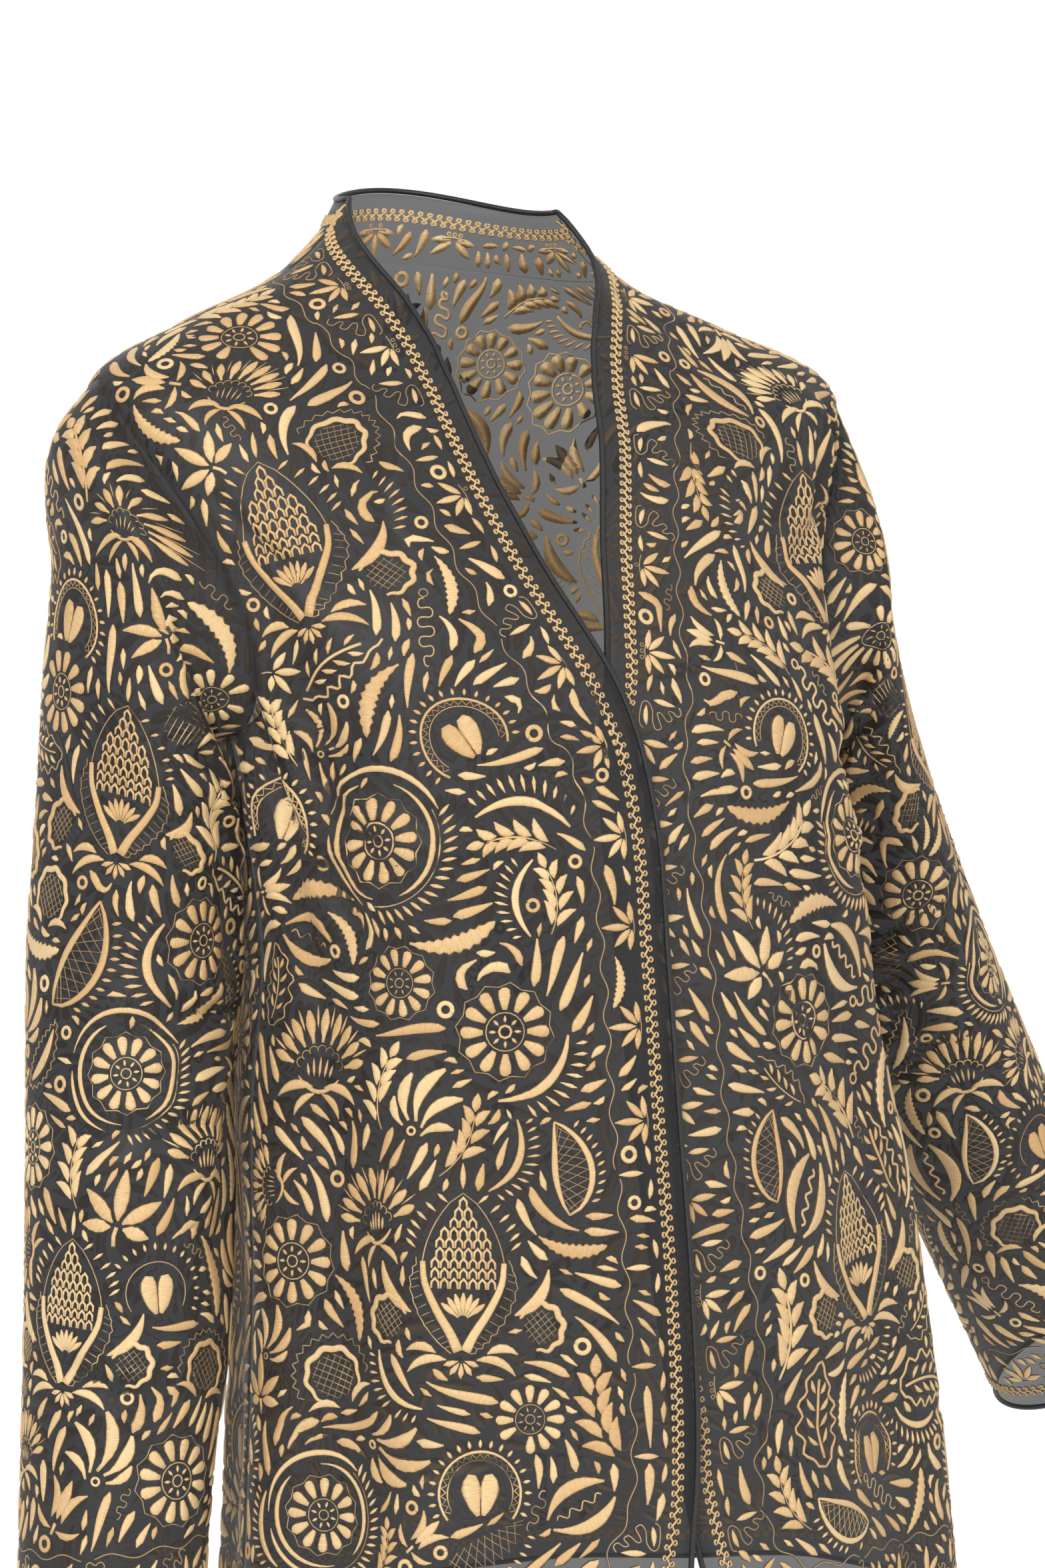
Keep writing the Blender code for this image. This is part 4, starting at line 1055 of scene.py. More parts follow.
# %% Pinecone and heart
def pinecone():
    """A cone of arched scales in a satin collar, with hatched sides, a fan at its foot and leaves."""
    t = np.linspace(0, 1, 15)
    half, level = 20.0 * np.sin(np.pi * t**0.8) ** 0.66, 13 + 63 * t
    made = []
    for row in range(9):
        y = 34 + 4.7 * row
        reach = np.interp(y + 2.0, level, half) - 3.2
        count = max(1, int(2 * reach / 4.5))
        for k in range(count):
            x = (k - (count - 1) / 2) * 4.5
            arch = np.array([(-1.75, -2.3), (-1.6, 0.6), (0.0, 2.3), (1.6, 0.6), (1.75, -2.3)]) + [x, y]
            made.append(stitch(arch, 1.55 * np.array([0.8, 1.0, 1.3, 1.0, 0.8]), 0.75))
    for turn in np.linspace(-52, 52, 7):
        made.append(leaf(polar(2.6, turn, (0, 17)), polar(13.0, turn, (0, 17)), 3.6, belly=0.62, blunt=0.3))
    for side in (-1, 1):
        upper = np.column_stack([side * half[6:], level[6:]])
        made.append(cord(upper, 1.2))
        collar = smooth([(side * x, y) for x, y in ((19.6, 44), (18.4, 34), (12.6, 22), (5.6, 11), (1.7, 3))], 3)
        made.append(stitch(collar, np.linspace(3.2, 6.0, len(collar)), 0.9))
        skirt = smooth([(side * x, y) for x, y in ((22.4, 45), (26.0, 33), (21.0, 19), (12.4, 8), (4.4, 1.5))], 5)
        skirt = skirt + 0.5 * np.cos(np.arange(len(skirt)) * math.pi)[:, None]
        made.append(cord(skirt, 1.1))
        for share in np.linspace(0.1, 0.9, 11):
            inner = on_line(share, np.linspace(0, 1, len(collar)), collar)
            outer = on_line(share * 0.94 + 0.05, np.linspace(0, 1, len(skirt)), skirt)
            way = outer - inner
            if np.hypot(*way) > 4.2:
                near, far = inner + 0.36 * way, outer - 0.1 * way
                made.append(cord(bow(tuple(near), tuple(far), count=3), 0.6))
        made.append(leaf((side * 25, 20), (side * 42, 42), 7.4, bend=-side * 0.16))
        middle = np.array([side * 38.0, 15.0])
        turns = np.linspace(-70, 190, 34)
        rim = [middle + polar(11.0 + 0.7 * math.cos(math.radians(turn * 9)), side * turn) for turn in turns]
        made.append(stitch(np.array(rim), 3.4 * np.sin(np.linspace(0.35, 2.8, 34)) + 0.5, 0.9))
        for slant in (40.0, 130.0):
            way, beside_way = np.array(polar(8.0, slant)), np.array(polar(1.0, slant + 90.0))
            for off in (-5.4, -2.7, 0.0, 2.7, 5.4):
                half_way = way * math.sqrt(1 - (off / 8.0) ** 2)
                made.append(cord([(middle + off * beside_way + k * half_way) for k in (-1, 0, 1)], 0.62))
        made.append(leaf((side * 12, 2), (side * 27, 2), 5.4, bend=side * 0.18))
        made.append(leaf((side * 7, -1), (side * 26, -8), 5.2, bend=side * 0.16))
        for k in range(6):
            x, y = 23.2 - 1.15 * k * k * 0.55, 50 + 4.3 * k
            made.append(leaf((side * x, y), (side * (x + 5.0), (y + 4.0)), 2.3, belly=0.6))
    made.append(leaf((0, 78), (0, 90), 3.4))
    for turn in (-72, -36, 0, 36, 72):
        made.append(leaf(polar(1.6, 180 + turn, (0, -1)), polar(8.6, 180 + turn, (0, -1)), 3.6, belly=0.6))
    return made


def heart():
    """A full heart in a halo of net and bars."""
    made = []
    for side in (-1, 1):
        x = smooth([(1.2, 2.5), (2.9, 7.0), (4.0, 11.5), (4.6, 15.5), (4.6, 19.0), (4.2, 22.2)], 2)
        wide = np.interp(np.linspace(0, 5, len(x)), np.arange(6), (2.6, 7.2, 9.6, 10.8, 9.8, 5.2))
        made.append(stitch(x * [side, 1.0], wide, 0.9 + 0.04 * side))
    outer = [polar(20.5, turn, (0, 13)) for turn in np.linspace(-128, 128, 25)]
    inner = [polar(16.4, turn, (0, 13)) for turn in np.linspace(-120, 120, 21)]
    made += [cord(outer, 1.7), cord(inner, 1.2)]
    middle = [polar(18.4, turn, (0, 13)) for turn in np.linspace(-122, 122, 31)]
    made.append(teeth(middle, 1.2, 43))
    for turn in np.linspace(-116, 116, 19):
        made.append(leaf(polar(22.4, turn, (0, 13)), polar(26.4, turn, (0, 13)), 2.3))
    return made


# %% Leaves, combs and sprigs
def net_leaf(length=46.0, width=18.0, bend=0.12):
    """A large leaf with a satin border, a net inside and short bars along one side."""
    spine = bow((0, 0), (0, length), bend, 13)
    t = np.linspace(0, 1, 13)
    half = 0.5 * width * np.sin(np.pi * t**0.85) ** 0.8
    way, side = ways(spine)
    made = [stitch(spine + side * half[:, None] * k, 1.4 + 2.6 * np.sin(np.pi * t)) for k in (-1, 1)]
    count = int(length / 4.0)
    for slant in (-1, 1):
        for k in range(1, count):
            low = k / count - slant * 0.055
            ends = []
            for share, edge in ((low, -1), (low + slant * 0.15, 1)):
                share = min(max(share, 0.05), 0.95)
                reach = max(np.interp(share, t, half) - 1.3, 0.0) * edge
                ends.append(on_line(share, t, spine + side * reach))
            if math.dist(*ends) > 2.5:
                made.append(cord(bow(*ends, count=4), 0.62))
    for share in np.linspace(0.16, 0.86, int(length / 4.4)):
        root = on_line(share, t, spine + side * (half + 2.9)[:, None])
        made.append(leaf(root, root + 3.8 * on_line(share, t, side + 0.5 * way), 2.0))
    return made


def serrated_leaf(length=38.0, width=15.0, bend=-0.1):
    """A satin leaf with a gap round it and a toothed line outside."""
    spine = bow((0, 0), (0, length), bend, 11)
    t = np.linspace(0, 1, 11)
    half = 0.5 * width * np.sin(np.pi * t**0.85) ** 0.8
    side = ways(spine)[1]
    made = [leaf(spine[1], spine[-2], width * 0.42, bend=bend)]
    for k in (-1, 1):
        made.append(teeth(spine + side * half[:, None] * k, 0.9, int(length / 1.9)))
    return made


def oak_leaf(length=42.0, width=24.0, bend=0.1):
    """A lobed leaf: a waving outline, a middle vein and almonds beside it."""
    spine = bow((0, 0), (0, length), bend, 25)
    t = np.linspace(0, 1, 25)
    half = 0.5 * width * np.sin(np.pi * t**0.8) ** 0.7 * (0.86 + 0.16 * np.cos(t * math.tau * 5))
    way, side = ways(spine)
    made = [cord(spine + side * half[:, None] * k, 1.5) for k in (-1, 1)]
    made.append(stitch(spine[2:-3:2], 1.6))
    for share in (0.22, 0.38, 0.54, 0.7):
        root, along = on_line(share, t, spine), on_line(share, t, way)
        reach = np.interp(share + 0.1, t, half) - 3.0
        for k in (-1, 1):
            across = on_line(share, t, side) * k
            made.append(leaf(root + 1.6 * across, root + reach * across + 5.0 * along, 2.6, bend=0.08 * k))
    return made


def comb(length=34.0, bend=0.22, reach=6.0):
    """A bent bar with short bars standing on its outer side."""
    spine = bow((0, 0), (0, length), bend, 11)
    t = np.linspace(0, 1, 11)
    way, out = ways(spine)
    made = [stitch(spine, 1.2 + 3.0 * np.sin(np.pi * t))]
    for share in np.linspace(0.06, 0.94, int(length / 2.9)):
        root = on_line(share, t, spine + out * 3.2)
        long = reach * (0.55 + 0.45 * math.sin(math.pi * share))
        made.append(leaf(root, root + long * on_line(share, t, out + 0.35 * way), 1.9, belly=0.6))
    return made


def sprig(length=40.0, bend=0.12, pairs=4, width=5.4):
    """A stem with pairs of satin leaves and one at its tip."""
    spine = bow((0, 0), (0, length * 0.78), bend, 9)
    t = np.linspace(0, 1, 9)
    way = unit(np.gradient(spine, axis=0))
    made = [cord(spine, 1.3), leaf(spine[-1] + way[-1] * 1.4, spine[-1] + way[-1] * length * 0.24, width)]
    for k in range(pairs):
        share = (k + 0.6) / (pairs + 0.2)
        root, along = on_line(share, t, spine), on_line(share, t, way)
        reach = length * (0.34 - 0.1 * share)
        for side in (-1, 1):
            out = np.array([-along[1], along[0]]) * side
            tip = root + reach * (0.62 * out + 0.78 * along)
            made.append(leaf(root + 1.5 * out, tip, width, bend=-side * 0.14))
    return made


def net_lobe(radius=14.0):
    """A scalloped satin lobe with a net inside, a ruffled cord round its rim and two leaves at its foot."""
    turns = np.linspace(-152, 152, 46)
    reaches = [radius * (1 + 0.045 * math.cos(math.radians(turn * 9))) for turn in turns]
    edge = np.array([polar(far, turn, (0, radius)) for far, turn in zip(reaches, turns)])
    made = [stitch(edge, 3.8 * np.maximum(np.cos(np.radians(turns * 0.52)), 0.3) + 0.4)]
    ruffle = []
    for k, turn in enumerate(np.linspace(-104, 104, 29)):
        ruffle.append(polar(radius * (1.36 + 0.17 * (k % 2)), turn, (0, radius)))
    made.append(cord(smooth(ruffle, 2), 1.0))
    for side in (-1, 1):
        made.append(leaf((side * 4.0, -1.0), (side * 19.0, 3.0), 5.0, bend=side * 0.2))
    reach = radius - 3.0
    for slant in (45.0, 135.0):
        way = np.array(polar(1.0, slant))
        side = np.array([-way[1], way[0]])
        for off in np.arange(-reach + 1.6, reach, 3.2):
            long = math.sqrt(max(reach * reach - off * off, 0.0))
            if long > 2.0:
                middle = np.array([0.0, radius]) + off * side
                made.append(cord([middle - long * way, middle, middle + long * way], 0.62))
    return made


def scroll(length=30.0, waves=3.5, reach=3.4):
    """A couched cord that meanders in round lobes and ends in a ring."""
    t = np.linspace(0, 1, int(waves * 15) + 1)
    swing = reach * np.sin(t * math.tau * waves) * np.minimum(1.0, 0.35 + 2.2 * t * (1 - t) + 0.3 * t)
    lobe = -0.95 * np.sin(2 * t * math.tau * waves)
    return [cord(np.column_stack([swing, length * t + lobe])), ring(1.9, (0, length + 2.6), 1.2, 8)]


def meander(length=24.0, waves=2.5, reach=3.0):
    """A short cord in round lobes."""
    return scroll(length, waves, reach)[:1]


def plume(length=29.0):
    """Five satin commas that spread from one foot and bend the same way."""
    made = []
    commas = (-60, 0.56, 5.0), (-31, 0.82, 6.4), (-2, 1.0, 7.0), (28, 0.86, 6.2), (58, 0.6, 5.0)
    for turn, share, width in commas:
        start, end = polar(4.4, turn * 1.5), polar(length * share, turn)
        made.append(leaf(start, end, width, bend=0.17, belly=0.6, blunt=0.26))
    made.append(eye(2.3)[0])
    return made


def pair(length=30.0):
    """Two long commas on the two sides of a wavy cord, like an opened pod."""
    t = np.linspace(0, 1, 22)
    made = [cord(np.column_stack([1.5 * np.sin(t * math.tau * 3.5), (0.12 + 0.74 * t) * length]))]
    for side in (-1, 1):
        made.append(leaf((side * 2.4, 0), (side * 4.2, length), 7.2, bend=-side * 0.2, belly=0.55, blunt=0.2))
    return made


def eye(radius=4.6):
    """A thick satin ring."""
    return [ring(radius * 0.68, width=radius * 0.62, count=14)]


def feather(length=30.0, width=8.4, bend=0.14):
    """A satin leaf whose stitches end in uneven points."""
    count = int(length / 1.5)
    t = np.linspace(0, 1, count)
    jag = np.where(np.arange(count) % 2, 1.0, 0.7)
    profile = np.maximum(np.sin(np.pi * t**0.8) ** 0.7, 0.14)
    return [stitch(bow((0, 0), (0, length), bend, count), width * profile * jag)]


DRAWN = (
    aster, lotus, spray, maple, wheel, fan_flower, tulip, pinecone, heart, net_leaf, net_lobe, serrated_leaf,
    oak_leaf, comb, sprig, scroll, meander, eye, feather, plume, pair,
)
MOTIFS = {draw.__name__: draw for draw in DRAWN}
print("stitch shapes in each motif:", {name: len(draw()) for name, draw in MOTIFS.items()})

# %% [markdown]
# ## Where stitches may go
#
# The real embroidery is dense: only a millimetre or two of organza shows between its shapes. So each
# panel keeps a map of small cells, and a motif is only laid where its own cells and a narrow
# gap round them are free. Nothing overlaps, and whatever room is left can be filled with smaller shapes.

# %% Motifs made ready to lay
CELL = 0.0008
GAP = 0.00075


def covered(path, width, grow):
    """Flat places that cover a stitch shape, made wider by grow on each side."""
    length = running_length(path)
    at = np.linspace(0, length[-1], max(2, int(length[-1] / CELL * 1.2) + 1))
    middle = on_line(at, length, path)
    half = np.interp(at, length, width) / 2 + grow
    over = np.linspace(-1, 1, max(2, int(2 * half.max() / CELL * 1.2) + 1))
    side = ways(middle)[1] * half[:, None]
    return (middle[:, None] + side[:, None] * over[None, :, None]).reshape(-1, 2)


class Ready:
    """A motif in metres, with the places that its shapes cover and the wider ones that they claim."""

    def __init__(self, shapes, size=1.0, mirror=False, gap=GAP):
        flip = np.array([-1.0 if mirror else 1.0, 1.0]) * size / 1000
        self.shapes = [(path * flip, width * size / 1000, height) for path, width, height in shapes]
        self.tight, self.tight_of = self.clouds(0.0)
        self.wide, self.wide_of = self.clouds(gap)

    def clouds(self, grow):
        """The places that cover all shapes, and which shape each place is of."""
        made = [covered(path, width, grow) for path, width, _ in self.shapes]
        return np.concatenate(made), np.repeat(np.arange(len(made)), [len(cloud) for cloud in made])


@functools.lru_cache(maxsize=None)
def ready(kind, size=1.0, mirror=False):
    """A named motif made ready, kept for the next time."""
    return Ready(MOTIFS[kind](), size, mirror)


@functools.lru_cache(maxsize=None)
def ready_leaf(long, width, bend):
    """One satin leaf made ready, with its foot in its middle."""
    return Ready([leaf((0, -long / 2), (0, long / 2), width, bend=bend, belly=0.56, blunt=0.24)])


# %% Panels to sew on
class Panel:
    """A panel of cloth with its chart, its map of taken cells and the stitch shapes laid so far."""

    def __init__(self, name, chart, inside, seed):
        self.name, self.chart = name, chart
        self.random = np.random.default_rng(seed)
        middle = chart.read(chart.a.mean(), chart.b.mean() * 0.8)
        self.cell = CELL / float(middle[12]), CELL
        self.shape = (
            int((chart.b[-1] - chart.b[0]) / self.cell[1]) + 1,
            int((chart.a[-1] - chart.a[0]) / self.cell[0]) + 1,
        )
        rows, columns = np.meshgrid(np.arange(self.shape[0]), np.arange(self.shape[1]), indexing="ij")
        a = chart.a[0] + columns * self.cell[0]
        b = chart.b[0] + rows * self.cell[1]
        self.inside = inside(a, b)
        self.taken = ~self.inside
        self.laid = []

    def index(self, a, b):
        """The cells of places, and whether they are on the map."""
        i = np.rint((a - self.chart.a[0]) / self.cell[0]).astype(int)
        j = np.rint((b - self.chart.b[0]) / self.cell[1]).astype(int)
        good = (i >= 0) & (j >= 0) & (i < self.shape[1]) & (j < self.shape[0])
        return np.where(good, j, 0), np.where(good, i, 0), good

    def blocked(self, a, b):
        """Which of these places are taken or off the panel."""
        j, i, good = self.index(a, b)
        return ~good | self.taken[j, i]

    def cells(self, spine, width, grow):
        """Places that cover a stitch shape that is already on the chart."""
        length = running_length(self.chart.read(spine[:, 0], spine[:, 1])[:, :3])
        at = np.linspace(0, length[-1], max(2, int(length[-1] / CELL * 1.2) + 1))
        a, b = on_line(at, length, spine).T
        row = self.chart.read(a, b)
        side = unit(np.cross(row[:, 3:6], np.gradient(row[:, :3], axis=0)))
        da, db = self.chart.steps_along(row, side)
        half = np.interp(at, length, width) / 2 + grow
        over = np.linspace(-1, 1, max(3, int(2 * half.max() / CELL * 1.2) + 2))
        return a[:, None] + (da * half)[:, None] * over, b[:, None] + (db * half)[:, None] * over

    def take(self, spine, width, gap):
        """Marks the cells of a stitch shape."""
        j, i, good = self.index(*self.cells(spine, width, gap))
        self.taken[j[good], i[good]] = True

    def sew(self, motif, at, way, missing=0.0, tone=None):
        """Lays a motif with its foot at a place and its growth along way, if its cells are free.

        missing is the share of its shapes that may be left out where the panel ends or is taken."""
        row = self.chart.read(*at)
        turn = math.radians(way - 90.0)
        cos, sin = math.cos(turn), math.sin(turn)

        def placed(flat):
            x, y = flat[:, 0] * cos - flat[:, 1] * sin, flat[:, 0] * sin + flat[:, 1] * cos
            da, db = self.chart.steps(row, x, y)
            return at[0] + da, at[1] + db

        hit = np.zeros(len(motif.shapes), bool)
        hit[motif.tight_of[self.blocked(*placed(motif.tight))]] = True
        if hit.sum() > missing * len(hit):
            return False
        j, i, good = self.index(*placed(motif.wide))
        good &= ~hit[motif.wide_of]
        self.taken[j[good], i[good]] = True
        # a motif's tone, with a little more per shape: partly the thread's own colour, partly painted light and
        # shade
        tone = self.random.uniform(-0.1, 0.16) if tone is None else tone
        for (path, width, height), lost in zip(motif.shapes, hit):
            if not lost:
                a, b = placed(path)
                lighter = tone + self.random.uniform(-0.06, 0.06)
                self.laid.append((np.column_stack([a, b]), width, height, lighter))
        return True

    def cover(self):
        """The share of the panel that is taken."""
        return float((self.taken & self.inside).sum() / self.inside.sum())


EDGE_ROOM = 0.003


def seam_limit(b):
    """How far round from its middle a front or the back reaches at a level, clear of its seams."""
    middle, rise = (UNDERARM_UP + SHOULDER_TIP_UP) / 2, (SHOULDER_TIP_UP - UNDERARM_UP) / 2
    hole = np.degrees(np.arccos(np.clip((middle - b) / rise, -1, 1)))
    return np.where(np.abs(b - middle) < rise, armhole(LEFT, hole)[0] - 0.8, 89.4)


def in_front(side):
    """Whether places lie on a front, clear of its seams."""
    def inside(a, b):
        across = np.radians(a - side * edge_around(side, b)) * ring_width(b, side)
        corner = (across < HEM_CORNER_RADIUS) & (b < HEM_CORNER_RADIUS)
        out = np.hypot(across - HEM_CORNER_RADIUS, b - HEM_CORNER_RADIUS) > HEM_CORNER_RADIUS - EDGE_ROOM
        level = (b > EDGE_ROOM) & (b < STAND_TOP_UP - EDGE_ROOM)
        return (across > EDGE_ROOM) & (a < seam_limit(b)) & level & ~(corner & out)

    return inside


def in_back(a, b):
    """Whether places lie on the back, clear of its seams."""
    return (np.abs(a - 180.0) < seam_limit(b)) & (b > EDGE_ROOM) & (b < NECK_BASE_UP - 0.002)


def in_sleeve(side):
    """Whether places lie on a sleeve, clear of its seam and its ends."""
    length = sleeve_lengths(side)[0][-1]
    return lambda a, b: (a > 1.2) & (a < 358.8) & (b > EDGE_ROOM) & (b < length - EDGE_ROOM)


def in_stand(a, b):
    """Whether places lie on the neck stand."""
    return (np.abs(a - 180.0) < 89.2) & (b > NECK_BASE_UP + 0.002) & (b < STAND_TOP_UP - EDGE_ROOM)


INSIDES = {
    "front_right": in_front(RIGHT), "front_left": in_front(LEFT), "back": in_back,
    "sleeve_right": in_sleeve(RIGHT), "sleeve_left": in_sleeve(LEFT), "neck_stand": in_stand,
}
FIRST_SEED = 11
sewn = {
    name: Panel(name, charts.get(name, charts["back"]), inside, FIRST_SEED + k)
    for k, (name, inside) in enumerate(INSIDES.items())
}
print("free cells:", {name: int(panel.inside.sum()) for name, panel in sewn.items()})
print("free cells:", {name: int(panel.inside.sum()) for name, panel in sewn.items()})

# %% [markdown]
# ## Borders
#
# Along the fronts, the hem, the neck and the cuffs runs a looped braid, then a row of small lotus
# blossoms that point into the panel, with sprays of almonds between them and a meandering cord. A
# border is laid by its distance from the edge and by the length along it, so it turns the rounded
# corner of the hem by itself.

# %% Lines beside an edge
def even_line(chart, line_places, spacing):
    """The same line on a chart, with points an even length apart."""
    length = running_length(chart.read(line_places[:, 0], line_places[:, 1])[:, :3])
    at = np.linspace(0, length[-1], max(2, int(length[-1] / spacing) + 1))
    return on_line(at, length, line_places), length[-1]


def beside(chart, line_places, distance, hand):
    """A line at a distance from another one, to its left (1) or right (-1), and its way into the panel."""
    row = chart.read(line_places[:, 0], line_places[:, 1])
    along = np.gradient(row[:, :3], axis=0)
    inward = unit(np.cross(row[:, 3:6], along)) * hand
    x, y = (inward * row[:, 6:9]).sum(-1), (inward * row[:, 9:12]).sum(-1)
    da, db = chart.steps(row, x, y)
    return line_places + distance * np.column_stack([da, db]), np.degrees(np.arctan2(y, x))


# distances from the edge, and the widths of what lies there
BRAID_AT, BRAID_WIDTH, RIM_AT, RIM_WIDTH = 0.0108, 0.0078, 0.003, 0.011
BORDER_PITCH, BLOSSOM_AT = 0.0455, 0.0182
BOUND_AT, BOUND_SPACING, BOUND_SWAY, BOUND_WIDTH, BOUND_GAP = 0.0405, 0.0022, 0.0016, 0.0011, 0.001
BORDER_BLOSSOM, BORDER_SPRAY = Ready(lotus(), gap=0.0006), Ready(spray(), gap=0.0006)


def sew_border(panel, edge, hand, first=0.3):
    """A border along an edge. hand says on which side of the edge's way the panel lies."""
    chart = panel.chart
    fine, length = even_line(chart, edge, 0.002)
    middle, _ = beside(chart, fine, BRAID_AT, hand)
    panel.take(middle, np.full(len(middle), BRAID_WIDTH), 0.0)
    braids.append((panel.name, even_line(chart, middle, 0.0025)[0]))
    rim, _ = beside(chart, fine, RIM_AT, hand)
    panel.take(rim, np.full(len(rim), RIM_WIDTH), 0.0)
    feet, turns = beside(chart, fine, BLOSSOM_AT, hand)
    pitch = length / round(length / BORDER_PITCH)
    for k in range(round(length / pitch)):
        for motif, share in ((BORDER_BLOSSOM, first), (BORDER_SPRAY, first + 0.5)):
            at = int((k + share) * pitch / length * (len(fine) - 1))
            if 6 < at < len(fine) - 6:
                panel.sew(motif, tuple(feet[at]), turns[at], missing=0.4)
    bound, _ = beside(chart, fine, BOUND_AT, hand)
    bound = even_line(chart, bound, BOUND_SPACING)[0]
    sway = beside(chart, bound, BOUND_SWAY, 1)[0] - bound
    bound = bound + sway * np.sin(np.arange(len(bound)) * BOUND_SPACING / pitch * math.tau * 2)[:, None]
    width = np.full(len(bound), BOUND_WIDTH)
    open_at = ~panel.blocked(bound[:, 0], bound[:, 1])
    breaks = np.flatnonzero(np.diff(np.concatenate([[False], open_at, [False]]).astype(int)))
    for start, end in zip(breaks[::2], breaks[1::2]):
        if end - start > 6:
            panel.laid.append((bound[start:end], width[start:end], 0.62, 0.0))
            panel.take(bound[start:end], width[start:end], BOUND_GAP)


braids = []
for side in (RIGHT, LEFT):
    grid = places["front_" + WORD[side]]
    edge = np.concatenate([grid[::-1, 0], grid[0, 1:]])
    sew_border(sewn["front_" + WORD[side]], edge, hand=side)
    cuff = np.column_stack([np.linspace(1.0, 359.0, 180), np.full(180, 0.0)])
    sew_border(sewn["sleeve_" + WORD[side]], cuff, hand=side, first=0.5)
hem = np.column_stack([np.linspace(90.4, 269.6, 180), np.zeros(180)])
sew_border(sewn["back"], hem, hand=1)
neck_line = np.column_stack([np.linspace(90.4, 269.6, 120), np.full(120, STAND_TOP_UP)])
sew_border(sewn["neck_stand"], neck_line, hand=-1)
print("border shapes:", {name: len(panel.laid) for name, panel in sewn.items()})

# %% [markdown]
# ## The large motifs
#
# The large motifs are listed one by one: a is degrees from the centre front, b metres up the cloth, and
# way the direction of growth, 90 straight up. The two fronts are mirror images, as if cut from
# one mirrored design, and the back is its own mirror image.

# %% Place the large motifs
PLACED_COLUMNS = ("motif", "a", "b", "way", "size")
FRONT_PLACED = (
    ("pinecone", 52.0, 0.497, 97.0, 1.02), ("net_lobe", 36.0, 0.59, 128.0, 0.95),
    ("net_lobe", 70.0, 0.56, 60.0, 0.9), ("wheel", 50.0, 0.388, 90.0, 0.98), ("heart", 77.0, 0.385, 112.0, 1.0),
    ("heart", 29.0, 0.425, 66.0, 0.98), ("maple", 67.0, 0.47, 200.0, 1.0), ("feather", 26.0, 0.505, 98.0, 1.0),
    ("aster", 29.0, 0.3, 90.0, 1.02), ("fan_flower", 69.0, 0.272, 92.0, 1.0),
    ("sprig", 19.5, 0.345, 92.0, 0.95), ("pinecone", 39.0, 0.15, 93.0, 1.0), ("aster", 75.0, 0.19, 90.0, 0.98),
    ("net_leaf", 18.5, 0.215, 84.0, 0.95), ("net_lobe", 64.0, 0.125, 64.0, 0.95),
    ("wheel", 68.0, 0.072, 60.0, 0.86), ("heart", 36.0, 0.075, 90.0, 0.95), ("oak_leaf", 84.0, 0.3, 98.0, 0.95),
    ("feather", 60.0, 0.33, 60.0, 0.95), ("comb", 33.0, 0.545, 96.0, 1.05),
    ("fan_flower", 52.0, 0.612, 90.0, 0.8), ("feather", 74.0, 0.628, 70.0, 0.9),
)
BACK_PLACED = (
    ("pinecone", 138.0, 0.497, 97.0, 1.05), ("heart", 180.0, 0.57, 90.0, 1.1),
    ("fan_flower", 180.0, 0.48, 90.0, 1.05), ("wheel", 152.0, 0.415, 90.0, 1.02),
    ("net_lobe", 117.0, 0.545, 118.0, 1.0), ("net_leaf", 116.0, 0.43, 80.0, 1.0),
    ("aster", 180.0, 0.345, 90.0, 1.08), ("fan_flower", 128.0, 0.33, 95.0, 1.0),
    ("aster", 104.0, 0.29, 90.0, 0.98), ("heart", 150.0, 0.28, 80.0, 1.0),
    ("pinecone", 180.0, 0.175, 90.0, 1.08), ("oak_leaf", 166.0, 0.29, 70.0, 0.9),
    ("net_lobe", 158.0, 0.19, 112.0, 0.95), ("wheel", 126.0, 0.18, 60.0, 1.0),
    ("net_leaf", 103.0, 0.195, 74.0, 1.0), ("pinecone", 140.0, 0.072, 92.0, 0.95),
    ("heart", 104.0, 0.08, 96.0, 1.0), ("aster", 160.0, 0.64, 90.0, 0.85), ("comb", 124.0, 0.61, 70.0, 1.0),
    ("feather", 168.0, 0.065, 84.0, 1.0),
)
SLEEVE_PLACED = (
    ("pinecone", 128.0, 0.35, 92.0, 0.96), ("net_lobe", 80.0, 0.425, 70.0, 0.92),
    ("heart", 168.0, 0.42, 100.0, 0.95), ("aster", 76.0, 0.33, 90.0, 0.92), ("net_leaf", 48.0, 0.29, 80.0, 0.9),
    ("net_lobe", 172.0, 0.32, 104.0, 0.92), ("wheel", 118.0, 0.262, 80.0, 0.86),
    ("fan_flower", 66.0, 0.215, 84.0, 0.9), ("pinecone", 150.0, 0.118, 93.0, 0.92),
    ("heart", 96.0, 0.15, 84.0, 0.9), ("net_lobe", 62.0, 0.11, 100.0, 0.9), ("aster", 182.0, 0.225, 90.0, 0.92),
    ("feather", 30.0, 0.2, 84.0, 1.0), ("pinecone", 238.0, 0.345, 90.0, 0.94),
    ("wheel", 262.0, 0.235, 90.0, 0.86), ("net_leaf", 304.0, 0.27, 84.0, 0.9),
    ("fan_flower", 222.0, 0.24, 90.0, 0.9), ("heart", 300.0, 0.16, 96.0, 0.9),
    ("pinecone", 234.0, 0.1, 92.0, 0.9), ("aster", 290.0, 0.095, 90.0, 0.9), ("comb", 20.0, 0.33, 90.0, 1.0),
    ("feather", 12.0, 0.11, 90.0, 1.0),
)


def sew_placed(panel, table, mirrored=False, around=180.0):
    """Lays the motifs of a table on a panel, and again mirrored on its other half if asked."""
    laid = 0
    for row in table:
        motif = dict(zip(PLACED_COLUMNS, row))
        halves = [(motif["a"], motif["way"], False)]
        if mirrored and abs(motif["a"] - around) > 0.5:
            halves.append((2 * around - motif["a"], 180.0 - motif["way"], True))
        for a, way, mirror in halves:
            laid += panel.sew(ready(motif["motif"], motif["size"], mirror), (a, motif["b"]), way, missing=0.5)
    print(panel.name, "large motifs:", laid)


